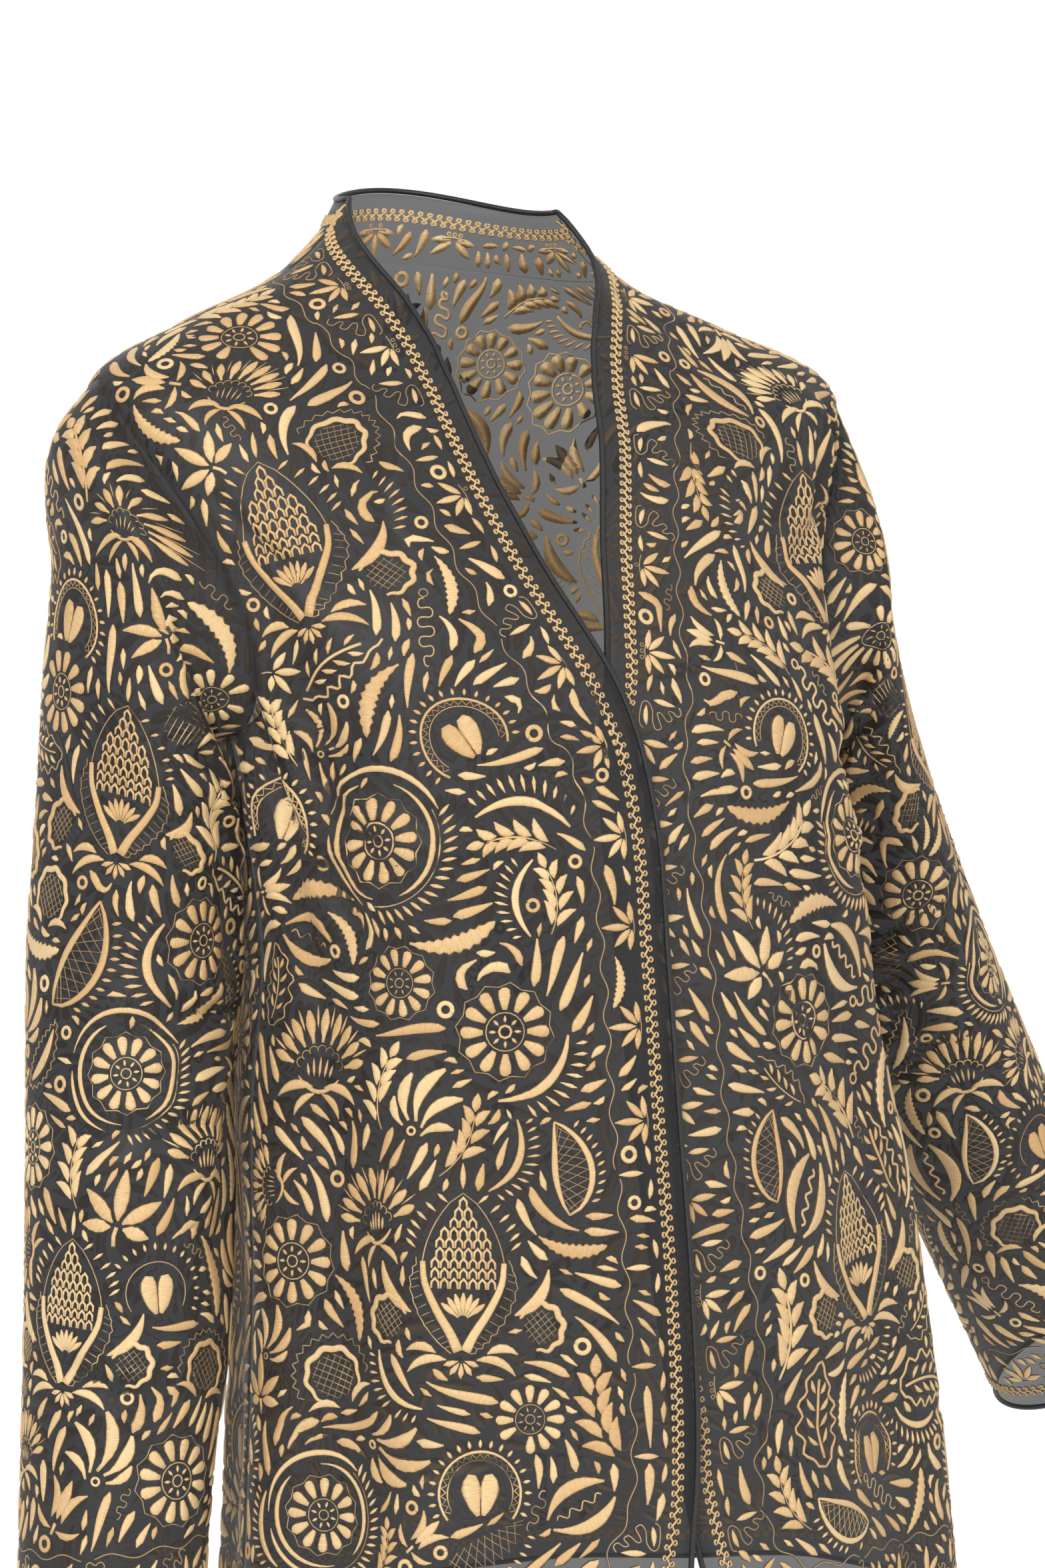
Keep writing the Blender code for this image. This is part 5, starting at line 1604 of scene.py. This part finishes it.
for side in (RIGHT, LEFT):
    sew_placed(sewn["front_" + WORD[side]], FRONT_PLACED)
    sew_placed(sewn["sleeve_" + WORD[side]], SLEEVE_PLACED)
sew_placed(sewn["back"], BACK_PLACED, mirrored=True)

# %% [markdown]
# ## Sweeps, stems and small shapes
#
# Between the large motifs the embroidery flows: long satin commas sweep round the flowers in
# parallel, with wavy cords and small leaves between them. A direction field gives every place a way
# of growth, made of slow waves and a swirl round each large motif. Commas are grown along it from
# free places as long as they fit, the widest first, and the last gaps take almonds.

# %% The flow of the growth
METRES_PER_DEGREE = {
    "front_right": 0.0027, "front_left": 0.0027, "back": 0.0027,
    "sleeve_right": 0.00092, "sleeve_left": 0.00092, "neck_stand": 0.0014,
}
FLOW_STEP = 0.004


def flow_map(panel, table):
    """The way of growth all over a panel, as unit steps across and up."""
    scale = METRES_PER_DEGREE[panel.name]
    a, b = np.meshgrid(
        np.arange(panel.chart.a[0], panel.chart.a[-1] + 2, FLOW_STEP / scale),
        np.arange(panel.chart.b[0], panel.chart.b[-1] + 0.01, FLOW_STEP),
    )
    slow, quick = np.sin(b * 26.0 + a * scale * 9.0), np.sin(b * 61.0 - a * scale * 40.0)
    wave = np.radians(90.0 + 40.0 * slow + 18.0 * quick)
    x, y = np.cos(wave), np.sin(wave)
    for k, row in enumerate(table):
        motif = dict(zip(PLACED_COLUMNS, row))
        dx, dy = (a - motif["a"]) * scale, b - motif["b"] - 0.02
        if panel.name == "back":
            dx = np.where(a > 180.0, (a + motif["a"] - 360.0) * scale, dx)
        far = dx * dx + dy * dy
        pull = 2.0 * np.exp(-far / 0.0022) * (1 if k % 2 else -1)
        reach = np.sqrt(far) + 0.004
        x, y = x - pull * dy / reach, y + pull * dx / reach
    size = np.hypot(x, y) + 1e-9
    return np.stack([x / size, y / size], axis=-1)


def flow(panel, a, b):
    """The way of growth at places of a panel."""
    i = np.rint((a - panel.chart.a[0]) * METRES_PER_DEGREE[panel.name] / FLOW_STEP).astype(int)
    j = np.rint((b - panel.chart.b[0]) / FLOW_STEP).astype(int)
    rows, columns = panel.growth.shape[:2]
    return panel.growth[np.clip(j, 0, rows - 1), np.clip(i, 0, columns - 1)]


def open_places(panel, spacing):
    """Free places on a jittered grid, in mixed order."""
    step = int(spacing / CELL)
    j, i = np.meshgrid(np.arange(2, panel.shape[0], step), np.arange(2, panel.shape[1], step), indexing="ij")
    jitter = panel.random.integers(-step // 3, step // 3 + 1, (2, j.size))
    j = np.clip(j.ravel() + jitter[0], 0, panel.shape[0] - 1)
    i = np.clip(i.ravel() + jitter[1], 0, panel.shape[1] - 1)
    good = ~panel.taken[j, i]
    order = panel.random.permutation(int(good.sum()))
    j, i = j[good][order], i[good][order]
    return np.column_stack([panel.chart.a[0] + i * panel.cell[0], panel.chart.b[0] + j * panel.cell[1]])


# %% Grow commas and scatter motifs
SWEEP_STEP = 0.0016


def sew_sweeps(panel, spacing, reach, least, widest, slim=0.55):
    """Satin commas along the flow from free places, each as long as it fits."""
    starts = open_places(panel, spacing)
    count = int(reach / SWEEP_STEP / 2)
    tracks = [starts]
    for sense in (1, -1):
        at = starts
        for _ in range(count):
            way = flow(panel, at[:, 0], at[:, 1]) * SWEEP_STEP * sense
            row = panel.chart.read(at[:, 0], at[:, 1])
            at = at + np.stack(panel.chart.steps(row, way[:, 0], way[:, 1]), axis=-1)
            tracks.insert(len(tracks) if sense == 1 else 0, at)
    tracks = np.stack(tracks, axis=1)
    row = panel.chart.read(tracks[..., 0], tracks[..., 1])
    side = unit(np.cross(row[..., 3:6], np.gradient(row[..., :3], axis=1)))
    da, db = panel.chart.steps_along(row, side)
    over = np.linspace(-0.5, 0.5, int(widest / CELL) + 2) * widest
    j, i, good = panel.index(tracks[..., :1] + da[..., None] * over, tracks[..., 1:] + db[..., None] * over)
    laid = 0
    for n in range(len(starts)):
        closed = (~good[n] | panel.taken[j[n], i[n]]).any(axis=1)
        if closed[count]:
            continue
        before, after = np.flatnonzero(closed[:count]), np.flatnonzero(closed[count:])
        first = before[-1] + 1 if len(before) else 0
        last = count + after[0] if len(after) else len(closed)
        if (last - first) * SWEEP_STEP < least:
            continue
        path = tracks[n, first:last:2]
        t = np.linspace(0, 1, len(path))
        t = t if panel.random.integers(2) else 1 - t
        width = widest * panel.random.uniform(0.8, 1.0) * np.maximum(np.sin(np.pi * t**slim) ** 0.7, 0.2)
        # the last value is the comma's tone: partly its own colour, partly painted light and shade
        panel.laid.append((path, width, 0.8, panel.random.uniform(-0.12, 0.16)))
        panel.take(path, width, GAP)
        laid += 1
    return laid


FIRST_KINDS = (
    ("plume", 1.15), ("fan_flower", 0.72), ("net_leaf", 0.95), ("sprig", 1.05), ("feather", 1.1),
    ("plume", 0.9), ("oak_leaf", 0.95), ("pair", 1.05), ("maple", 1.45), ("scroll", 1.1), ("aster", 0.78), ("comb", 1.05),
    ("serrated_leaf", 1.05), ("tulip", 1.3),
)
NEXT_KINDS = (
    ("plume", 0.68), ("maple", 0.95), ("meander", 1.0), ("feather", 0.72), ("pair", 0.68), ("eye", 1.0),
    ("tulip", 0.85), ("sprig", 0.66), ("serrated_leaf", 0.66), ("comb", 0.68), ("maple", 0.72),
    ("meander", 0.75),
)


def sew_mixed(panel, kinds, spacing, missing, smaller=(1.0, 0.82)):
    """Scatters motifs of many kinds over free places, each along the flow."""
    laid = 0
    for at in open_places(panel, spacing):
        way = flow(panel, *at)
        turn = math.degrees(math.atan2(way[1], way[0])) + panel.random.uniform(-24, 24)
        kind, size = kinds[panel.random.integers(len(kinds))]
        mirror = bool(panel.random.integers(2))
        for share in smaller:
            if panel.sew(ready(kind, round(size * share, 3), mirror), at, turn, missing):
                laid += 1
                break
    return laid


def sew_small(panel, spacing, lengths):
    """Fills what is left with almonds along the flow."""
    laid = 0
    for at in open_places(panel, spacing):
        way = flow(panel, *at)
        turn = math.degrees(math.atan2(way[1], way[0])) + panel.random.uniform(-20, 20)
        bend = (-0.16, -0.06, 0.06, 0.16)[panel.random.integers(4)]
        for long in lengths:
            if panel.sew(ready_leaf(long, 1.5 + 0.36 * long, bend), at, turn):
                laid += 1
                break
    return laid


TABLES = {
    "front_right": FRONT_PLACED, "front_left": FRONT_PLACED, "back": BACK_PLACED,
    "sleeve_right": SLEEVE_PLACED, "sleeve_left": SLEEVE_PLACED, "neck_stand": (),
}
# the rounds of filling, from wide to fine, each with the values of its function
ROUNDS = (
    (sew_mixed, FIRST_KINDS, 0.008, 0.12, (1.25, 1.0)),
    (sew_sweeps, 0.01, 0.038, 0.02, 0.0064),
    (sew_mixed, FIRST_KINDS, 0.006, 0.12, (0.9, 0.72)),
    (sew_sweeps, 0.007, 0.03, 0.013, 0.0056),
    (sew_mixed, NEXT_KINDS, 0.0042, 0.0),
    (sew_mixed, NEXT_KINDS, 0.0036, 0.0),
    (sew_sweeps, 0.005, 0.022, 0.0085, 0.0042),
    (sew_small, 0.0044, (8.5, 6.0)),
)
for name, panel in sewn.items():
    panel.growth = flow_map(panel, TABLES[name])
    laid = [fill(panel, *values) for fill, *values in ROUNDS]
    print(name, "laid in each round:", laid, "shapes", len(panel.laid), "cover", round(panel.cover(), 2))

# %% [markdown]
# ## From shapes to raised thread
#
# Each stitch shape becomes a small closed body: its spine is read from the chart, its sides are found
# square to the spine on the cloth, and its face stands up from the cloth, highest in the middle. Its
# back comes through to the inside, as real thread does, so the inner side shows the stitches too. Narrow
# cords get a three-sided section and satin shapes a flat-topped one, which catches light as padded
# stitching does. All the shapes of a panel are joined in one mesh.

# %% Raise the stitches
SECTIONS = {
    "cord": (np.array([-1.0, 0.0, 1.0]), np.array([0.0, 1.0, 0.0])),
    "satin": (np.array([-1.0, -0.56, 0.56, 1.0]), np.array([0.0, 0.92, 0.92, 0.0])),
}
SUNK = CLOTH_WALL / 2 + 0.00014


def raise_shapes(chart, shapes, kind, start):
    """Vertices, faces, UVs and tones, partly painted light and shade, of all shapes of one kind."""
    over, lift = SECTIONS[kind]
    counts = np.array([len(spine) for spine, _, _, _ in shapes])
    spine = np.concatenate([s for s, _, _, _ in shapes])
    width = np.concatenate([w for _, w, _, _ in shapes])
    high = np.repeat([h / 1000 for _, _, h, _ in shapes], counts)
    tone = np.repeat([t for _, _, _, t in shapes], counts)
    ends = np.cumsum(counts)
    first = ends - counts
    row = chart.read(spine[:, 0], spine[:, 1])
    before, after = np.arange(len(spine)) - 1, np.arange(len(spine)) + 1
    before[first], after[ends - 1] = first, ends - 1
    along = row[after, :3] - row[before, :3]
    side = unit(np.cross(row[:, 3:6], along))
    da, db = chart.steps_along(row, side)
    offset = over[None, :] * (width / 2)[:, None]
    place = chart.read(spine[:, :1] + da[:, None] * offset, spine[:, 1:] + db[:, None] * offset)
    slim = np.clip(width / 0.0022, 0.35, 1.0)
    rise = np.maximum(high * slim, 0.00034)[:, None] * lift[None, :]
    points = place[..., :3] + (rise - SUNK * (lift == 0))[..., None] * place[..., 3:6]
    size = len(over)
    step = np.linalg.norm(row[after, :3] - row[:, :3], axis=-1) * 1000
    length = np.cumsum(step) - step
    length = length - np.repeat(length[first], counts) + np.repeat(np.arange(len(counts)) * 7.3 % 50, counts)
    uv = np.stack([np.repeat(length[:, None], size, axis=1), offset * 1000], axis=-1)
    body = np.setdiff1d(np.arange(len(spine)), ends - 1)
    faces = []
    for k in range(size):
        after_k = (k + 1) % size
        corners = [body * size + k, (body + 1) * size + k, (body + 1) * size + after_k, body * size + after_k]
        faces.append(np.stack(corners, -1))
    quads = np.concatenate(faces)
    fore = first[:, None] * size + np.arange(size)[None, :]
    aft = (ends - 1)[:, None] * size + np.arange(size)[::-1][None, :]
    caps = np.concatenate([fore, aft])
    return points.reshape(-1, 3), quads + start, caps + start, uv.reshape(-1, 2), np.repeat(tone, size)


CORD_LIMIT = 0.00158


def set_tone_and_shade(mesh, tones):
    """Stores how light the thread is at each vertex: partly its own uneven colour, partly painted light and
    shade.
    """
    mesh.attributes.new("tone", "FLOAT", "POINT").data.foreach_set("value", np.asarray(tones, np.float32))


def stitch_mesh(name, chart, shapes):
    """One mesh of all the raised shapes of a panel."""
    points, faces, uvs, tones, start = [], [], [], [], 0
    for kind in SECTIONS:
        members = [shape for shape in shapes if (shape[1].max() < CORD_LIMIT) == (kind == "cord")]
        if not members:
            continue
        made = raise_shapes(chart, members, kind, start)
        points.append(made[0])
        faces += made[1].tolist() + made[2].tolist()
        uvs.append(made[3])
        tones.append(made[4])
        start += len(made[0])
    mesh = bpy.data.meshes.new(name)
    mesh.from_pydata(np.concatenate(points), [], faces)
    loops = np.empty(len(mesh.loops), int)
    mesh.loops.foreach_get("vertex_index", loops)
    layer = mesh.uv_layers.new(name="thread")
    layer.uv.foreach_set("vector", np.concatenate(uvs)[loops].astype(np.float32).ravel())
    set_tone_and_shade(mesh, np.concatenate(tones))
    mesh.shade_smooth()
    mesh.validate()
    return mesh


BACK_HALVES = 0.36
stitches = {}
for name, panel in sewn.items():
    groups = {"": panel.laid}
    if name == "back":
        groups = {
            "_lower": [shape for shape in panel.laid if shape[0][:, 1].mean() < BACK_HALVES],
            "_upper": [shape for shape in panel.laid if shape[0][:, 1].mean() >= BACK_HALVES],
        }
    stitches[name] = []
    for part, shapes in groups.items():
        mesh = stitch_mesh("stitches_" + name + part, panel.chart, shapes)
        stitches[name].append(add_piece(mesh.name, mesh, thread_finish))
        triangles = sum(len(face.vertices) - 2 for face in mesh.polygons)
        print(mesh.name, "triangles", triangles)

# %% [markdown]
# ## The looped braid
#
# The braid is one small link repeated hundreds of times along the borders, so Geometry Nodes make
# it: the border's line comes in as a mesh that knows which way the cloth faces, it is resampled to an
# even pitch, and the link is set on each point, turned along the line and laid flat on the cloth.

# %% Braid nodes
def braid_nodes():
    """A Geometry Nodes tree that lays a link along a line at an even pitch."""
    tree = bpy.data.node_groups.new("braid_along_a_line", "GeometryNodeTree")
    sockets, given, end = add_sockets(
        tree, ("Line", "INPUT", "Geometry"), ("Pitch", "INPUT", "Float"), ("Link", "INPUT", "Object"),
        ("Thread", "INPUT", "Material"), ("Braid", "OUTPUT", "Geometry"),
    )
    curve = node(tree, "GeometryNodeMeshToCurve", {"Mesh": given["Line"]}).outputs["Curve"]
    even = node(tree, "GeometryNodeResampleCurve", {"Curve": curve, "Length": given["Pitch"]}, mode="LENGTH")
    facing = node(tree, "GeometryNodeInputNamedAttribute", {"Name": "facing"}, data_type="FLOAT_VECTOR")
    tangent = node(tree, "GeometryNodeInputTangent").outputs["Tangent"]
    stand = node(tree, "FunctionNodeAlignRotationToVector", {"Vector": facing.outputs["Attribute"]}, axis="Z")
    turn = node(
        tree, "FunctionNodeAlignRotationToVector", {"Rotation": stand.outputs["Rotation"], "Vector": tangent},
        axis="X", pivot_axis="Z",
    )
    link = node(tree, "GeometryNodeObjectInfo", {"Object": given["Link"]}).outputs["Geometry"]
    place = node(tree, "GeometryNodeInstanceOnPoints", {
        "Points": even.outputs["Curve"], "Rotation": turn.outputs["Rotation"], "Instance": link,
    })
    real = node(tree, "GeometryNodeRealizeInstances", {"Geometry": place.outputs["Instances"]})
    threaded = {"Geometry": real.outputs["Geometry"], "Material": given["Thread"]}
    finish = node(tree, "GeometryNodeSetMaterial", threaded)
    feed(tree, end, {"Braid": finish.outputs["Geometry"]})
    return tree, {name: socket.identifier for name, socket in sockets.items()}


def braid_link(pitch, reach):
    """One link of the braid: a cord that swings out and back and turns in a round loop at each side."""
    t = np.linspace(0, 1, 17)
    x = pitch * t - 0.00185 * np.sin(2 * math.tau * t)
    y = reach * np.cos(math.tau * t)
    path = np.column_stack([x - pitch / 2, y, 0.00035 + 0.00018 * np.cos(math.tau * t * 4)])
    way = unit(np.gradient(path, axis=0))
    side = np.cross([0.0, 0.0, 1.0], way)
    section = ((-0.00066, -0.0009), (0.0, 0.0007), (0.00066, -0.0009))
    points = np.stack([path + side * s + np.array([0, 0, 1.0]) * h for s, h in section], axis=1)
    length = running_length(path) * 1000
    uv = np.stack([np.repeat(length[:, None], 3, axis=1), np.tile([-0.5, 0.0, 0.5], (17, 1))], axis=-1)
    mesh = grid_mesh("braid_link", points, uv, closed=True, flip=True)
    mesh.uv_layers[0].name = "thread"
    return bpy.data.objects.new("braid_link", mesh)


PITCH, BRAID_REACH = 0.005, 0.0028
braid_tree, braid_inputs = braid_nodes()
link = braid_link(PITCH, BRAID_REACH)


def lay_braid(name, chart, track):
    """The braid of one border as a plain mesh."""
    row = chart.read(track[:, 0], track[:, 1])
    mesh = bpy.data.meshes.new(name)
    mesh.from_pydata(row[:, :3], [(k, k + 1) for k in range(len(row) - 1)], [])
    facing = mesh.attributes.new("facing", "FLOAT_VECTOR", "POINT")
    facing.data.foreach_set("vector", row[:, 3:6].astype(np.float32).ravel())
    carrier = bpy.data.objects.new(name + "_line", mesh)
    bpy.context.scene.collection.objects.link(carrier)
    modifier = carrier.modifiers.new("braid", "NODES")
    modifier.node_group = braid_tree
    for key, value in {"Pitch": PITCH, "Link": link, "Thread": thread_finish}.items():
        modifier[braid_inputs[key]] = value
    evaluated = carrier.evaluated_get(bpy.context.evaluated_depsgraph_get())
    made = bpy.data.meshes.new_from_object(evaluated)
    bpy.data.objects.remove(carrier, do_unlink=True)
    made.name = name
    set_tone_and_shade(made, np.full(len(made.vertices), 0.08))
    made.shade_smooth()
    return made


for panel_name, track in braids:
    mesh = lay_braid("braid_" + panel_name, sewn[panel_name].chart, track)
    stitches[panel_name].append(add_piece("braid_" + panel_name, mesh, thread_finish))
    print("braid", panel_name, "faces", len(mesh.polygons))
bpy.data.objects.remove(link, do_unlink=True)

# %% [markdown]
# ## Rolled edges
#
# The fronts, hem, cuffs and neck end in a narrow rolled edge: the cloth is turned over a cord and
# overlocked with black thread. It is a tube along the cloth's edge, and its thread bump runs round it.

# %% Rolled edges
EDGE_RADIUS, EDGE_OUT, EDGE_SIDES = 0.0014, 0.0015, 10
WELD = 0.000002


def way_along(path, closed):
    """The unit way along a path at each of its points."""
    if closed:
        return unit(np.roll(path, -1, axis=0) - np.roll(path, 1, axis=0))
    return unit(np.gradient(path, axis=0))


def join_mesh(mesh, caps=0, weld=0.0, outward=False):
    """Puts caps of so many corners on a tube, welds places that meet, or turns the faces outward."""
    work = bmesh.new()
    work.from_mesh(mesh)
    if caps:
        work.verts.ensure_lookup_table()
        total = len(work.verts)
        work.faces.new([work.verts[k] for k in range(caps)][::-1])
        work.faces.new([work.verts[total - caps + k] for k in range(caps)])
    if weld:
        bmesh.ops.remove_doubles(work, verts=work.verts, dist=weld)
    if outward:
        bmesh.ops.recalc_face_normals(work, faces=work.faces)
    work.to_mesh(mesh)
    work.free()


def rolled_edge(name, edge, inner, closed=False):
    """A round tube just past a cloth edge, with a UV map in millimetres along it."""
    along, away = way_along(edge, closed), edge - inner
    path = edge + EDGE_OUT * unit(away - (away * along).sum(-1, keepdims=True) * along)
    along = way_along(path, closed)
    one = [unit(np.cross(along[0], [0.31, 0.17, 0.93]))]
    for way in along[1:]:
        one.append(unit(one[-1] - (one[-1] @ way) * way))
    one = np.array(one)
    two = np.cross(along, one)
    turn = np.arange(EDGE_SIDES) * math.tau / EDGE_SIDES
    across = np.cos(turn)[None, :, None] * one[:, None] + np.sin(turn)[None, :, None] * two[:, None]
    points = path[:, None] + EDGE_RADIUS * across
    uv = np.stack(np.meshgrid(running_length(path) * 1000, turn * EDGE_RADIUS * 1000, indexing="ij"), axis=-1)
    if closed:
        points = np.concatenate([points, points[:1]])
        uv = np.concatenate([uv, uv[-1:] + (uv[-1:] - uv[-2:-1])])
    mesh = grid_mesh(name, points, uv, closed=True)
    mesh.uv_layers[0].name = "thread"
    join_mesh(mesh, caps=0 if closed else EDGE_SIDES, weld=WELD if closed else 0.0)
    set_tone_and_shade(mesh, np.zeros(len(mesh.vertices)))
    return mesh


rolled = {}
for word in WORD.values():
    grid, cuff = cloth_grid("front_" + word), cloth_grid("sleeve_" + word)
    edge = np.concatenate([grid[::-1, 0], grid[0, 1:]])
    inner = np.concatenate([grid[::-1, 1], grid[1, 1:]])
    inner[HOLE_ROWS + LOWER_ROWS] = grid[1, 1]
    rolled["edge_" + word] = rolled_edge("rolled_edge_" + word, edge, inner)
    rolled["edge_cuff_" + word] = rolled_edge("rolled_cuff_" + word, cuff[0], cuff[1], closed=True)
hem_points = cloth_grid("back")
rolled["edge_back_hem"] = rolled_edge("rolled_back_hem", hem_points[0], hem_points[1])
rolled["edge_neck"] = rolled_edge("rolled_neck", stand_points[-1], stand_points[-2])
for node_name, mesh in rolled.items():
    add_piece(mesh.name, mesh, edge_finish, (node_name,))
print("rolled edges:", {name: len(mesh.polygons) for name, mesh in rolled.items()})

# %% [markdown]
# ## The press fastener
#
# One small dark press fastener holds the fronts where they cross. Each half is a turned disc with a
# rim and a middle boss. It is made of turned profiles, as a lathe would do.

# %% Press fastener
SNAP_UP, SNAP_AROUND = 0.42, -2.4


def turned_disc(name, middle, way, boss):
    """A round disc turned from a profile, facing along way."""
    profile = np.array([
        (0.0, -0.5), (3.9, -0.5), (4.4, -0.35), (4.5, 0.0), (4.3, 0.35), (3.7, 0.42), (3.3, 0.22),
        (2.6, 0.18), (1.9, 0.24), (1.5, 0.24 + boss), (0.9, 0.34 + boss), (0.0, 0.36 + boss),
    ]) / 1000
    turn = np.arange(32) * math.tau / 32
    one = unit(np.cross(way, [0.0, 0.0, 1.0]))
    two = np.cross(way, one)
    ring_ways = np.cos(turn)[:, None] * one + np.sin(turn)[:, None] * two
    points = middle + profile[:, :1, None] * ring_ways[None] + profile[:, 1:, None] * way
    uv = np.stack(np.meshgrid(np.linspace(0, 8, 12), turn, indexing="ij"), axis=-1)
    mesh = grid_mesh(name, points, uv, closed=True, flip=True)
    join_mesh(mesh, weld=0.00001, outward=True)
    return mesh


def lacquer(name):
    """Dark lacquered metal with a fine grain in its colour and its gloss."""
    material, tree, shader = new_material(name, {"Metallic": 0.6, "Coat Weight": 0.4})
    place = node(tree, "ShaderNodeTexCoord").outputs["Object"]
    grain = node(tree, "ShaderNodeTexNoise", {"Vector": place, "Scale": 900.0, "Detail": 4.0}).outputs["Fac"]
    colour = ramp(tree, grain, (0.0, (0.006, 0.006, 0.007)), (1.0, (0.03, 0.029, 0.03)))
    surface(tree, shader, colour, grain, (0.25, 0.5), 0.2, 0.00005)
    return material


under = charts["front_left"].read(SNAP_AROUND, SNAP_UP)
over = charts["front_right"].read(-SNAP_AROUND, SNAP_UP)
snap_finish = lacquer("dark_press_fastener")
stud = turned_disc("press_stud", under[:3] + 0.0008 * under[3:6], under[3:6], 0.4)
cap = turned_disc("press_cap", over[:3] - 0.0008 * over[3:6], -over[3:6], 0.0)
add_piece("press_stud", stud, snap_finish, ("snap_stud",))
add_piece("press_cap", cap, snap_finish, ("snap_cap",))
print("fastener gap", round(float(np.linalg.norm(over[:3] - under[:3])) * 1000, 2), "mm")

# %% [markdown]
# ## The cut sizes of the cloth
#
# Each panel gets the size of the rectangle that it is cut from, measured along its grid, and its area
# is printed as a share of that rectangle. The stitches and the braid lie on their panel.

CUTS = {}
for name, panel in panels.items():
    points = cloth_points[name]
    width = float(np.linalg.norm(np.diff(points, axis=1), axis=-1).sum(axis=1).max())
    if name.startswith("sleeve"):
        width = float(np.linalg.norm(points - np.roll(points, 1, axis=1), axis=-1).sum(axis=1).max())
    length = float(np.linalg.norm(np.diff(points, axis=0), axis=-1).sum(axis=0).max())
    CUTS[name] = (round(width + 0.001, 3), round(length + 0.001, 3))
    share = areas[name] / (CUTS[name][0] * CUTS[name][1])
    print(name, "cut", CUTS[name], "area", round(areas[name], 4), "share of the rectangle", round(share, 2))

# %% [markdown]
# ## The floor and the light
#
# The jacket hangs at a wearer's height over a plain pale floor, in front of nothing. Large soft lights
# from the front and both sides keep the thread bright with only faint shadows under it.

# %% Floor and lights
FLOOR_Z, FLOOR_HALF = -1.42, 1.7


def add_floor():
    """A wide pale floor."""
    mesh = bpy.data.meshes.new("floor")
    corners = [(x * FLOOR_HALF, y * FLOOR_HALF, FLOOR_Z) for x, y in ((-1, -1), (1, -1), (1, 1), (-1, 1))]
    mesh.from_pydata(corners, [], [(0, 1, 2, 3)])
    pale = {"Base Color": (0.94, 0.94, 0.94, 1.0), "Roughness": 0.7}
    mesh.materials.append(new_material("pale_floor", pale)[0])
    floor = bpy.data.objects.new("floor", mesh)
    bpy.context.scene.collection.objects.link(floor)
    floor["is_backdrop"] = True


def add_light(name, place, power, size):
    """A soft square light that faces the jacket."""
    light = bpy.data.lights.new(name, "AREA")
    light.energy, light.size = power, size
    lamp = bpy.data.objects.new(name, light)
    bpy.context.scene.collection.objects.link(lamp)
    lamp.location = place
    way = Vector((0.02, 0.0, -0.3)) - Vector(place)
    lamp.rotation_euler = way.to_track_quat("-Z", "Y").to_euler()


add_floor()
add_light("lamp_key", (-2.2, -2.0, 1.2), 84.0, 1.2)
add_light("lamp_fill", (1.6, -2.8, 0.3), 34.0, 1.8)
add_light("lamp_back", (0.8, 2.6, 0.9), 20.0, 2.0)
bpy.context.scene.view_settings.view_transform = "Standard"
world = bpy.data.worlds.new("studio")
world.use_nodes = True
sky = world.node_tree
seen = node(sky, "ShaderNodeLightPath").outputs["Is Camera Ray"]
strength = node(sky, "ShaderNodeMapRange", {"Value": seen, "To Min": 0.62, "To Max": 1.05})
feed(sky, sky.nodes["Background"], {"Strength": strength.outputs[0], "Color": (1.0, 1.0, 1.0, 1.0)})
bpy.context.scene.world = world

# %% Print the CAD box and the dressed box
final_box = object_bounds()
for label, box in (("CAD box", cad_box), ("dressed box", final_box)):
    print(label, [[round(x, 4) for x in corner] for corner in box])
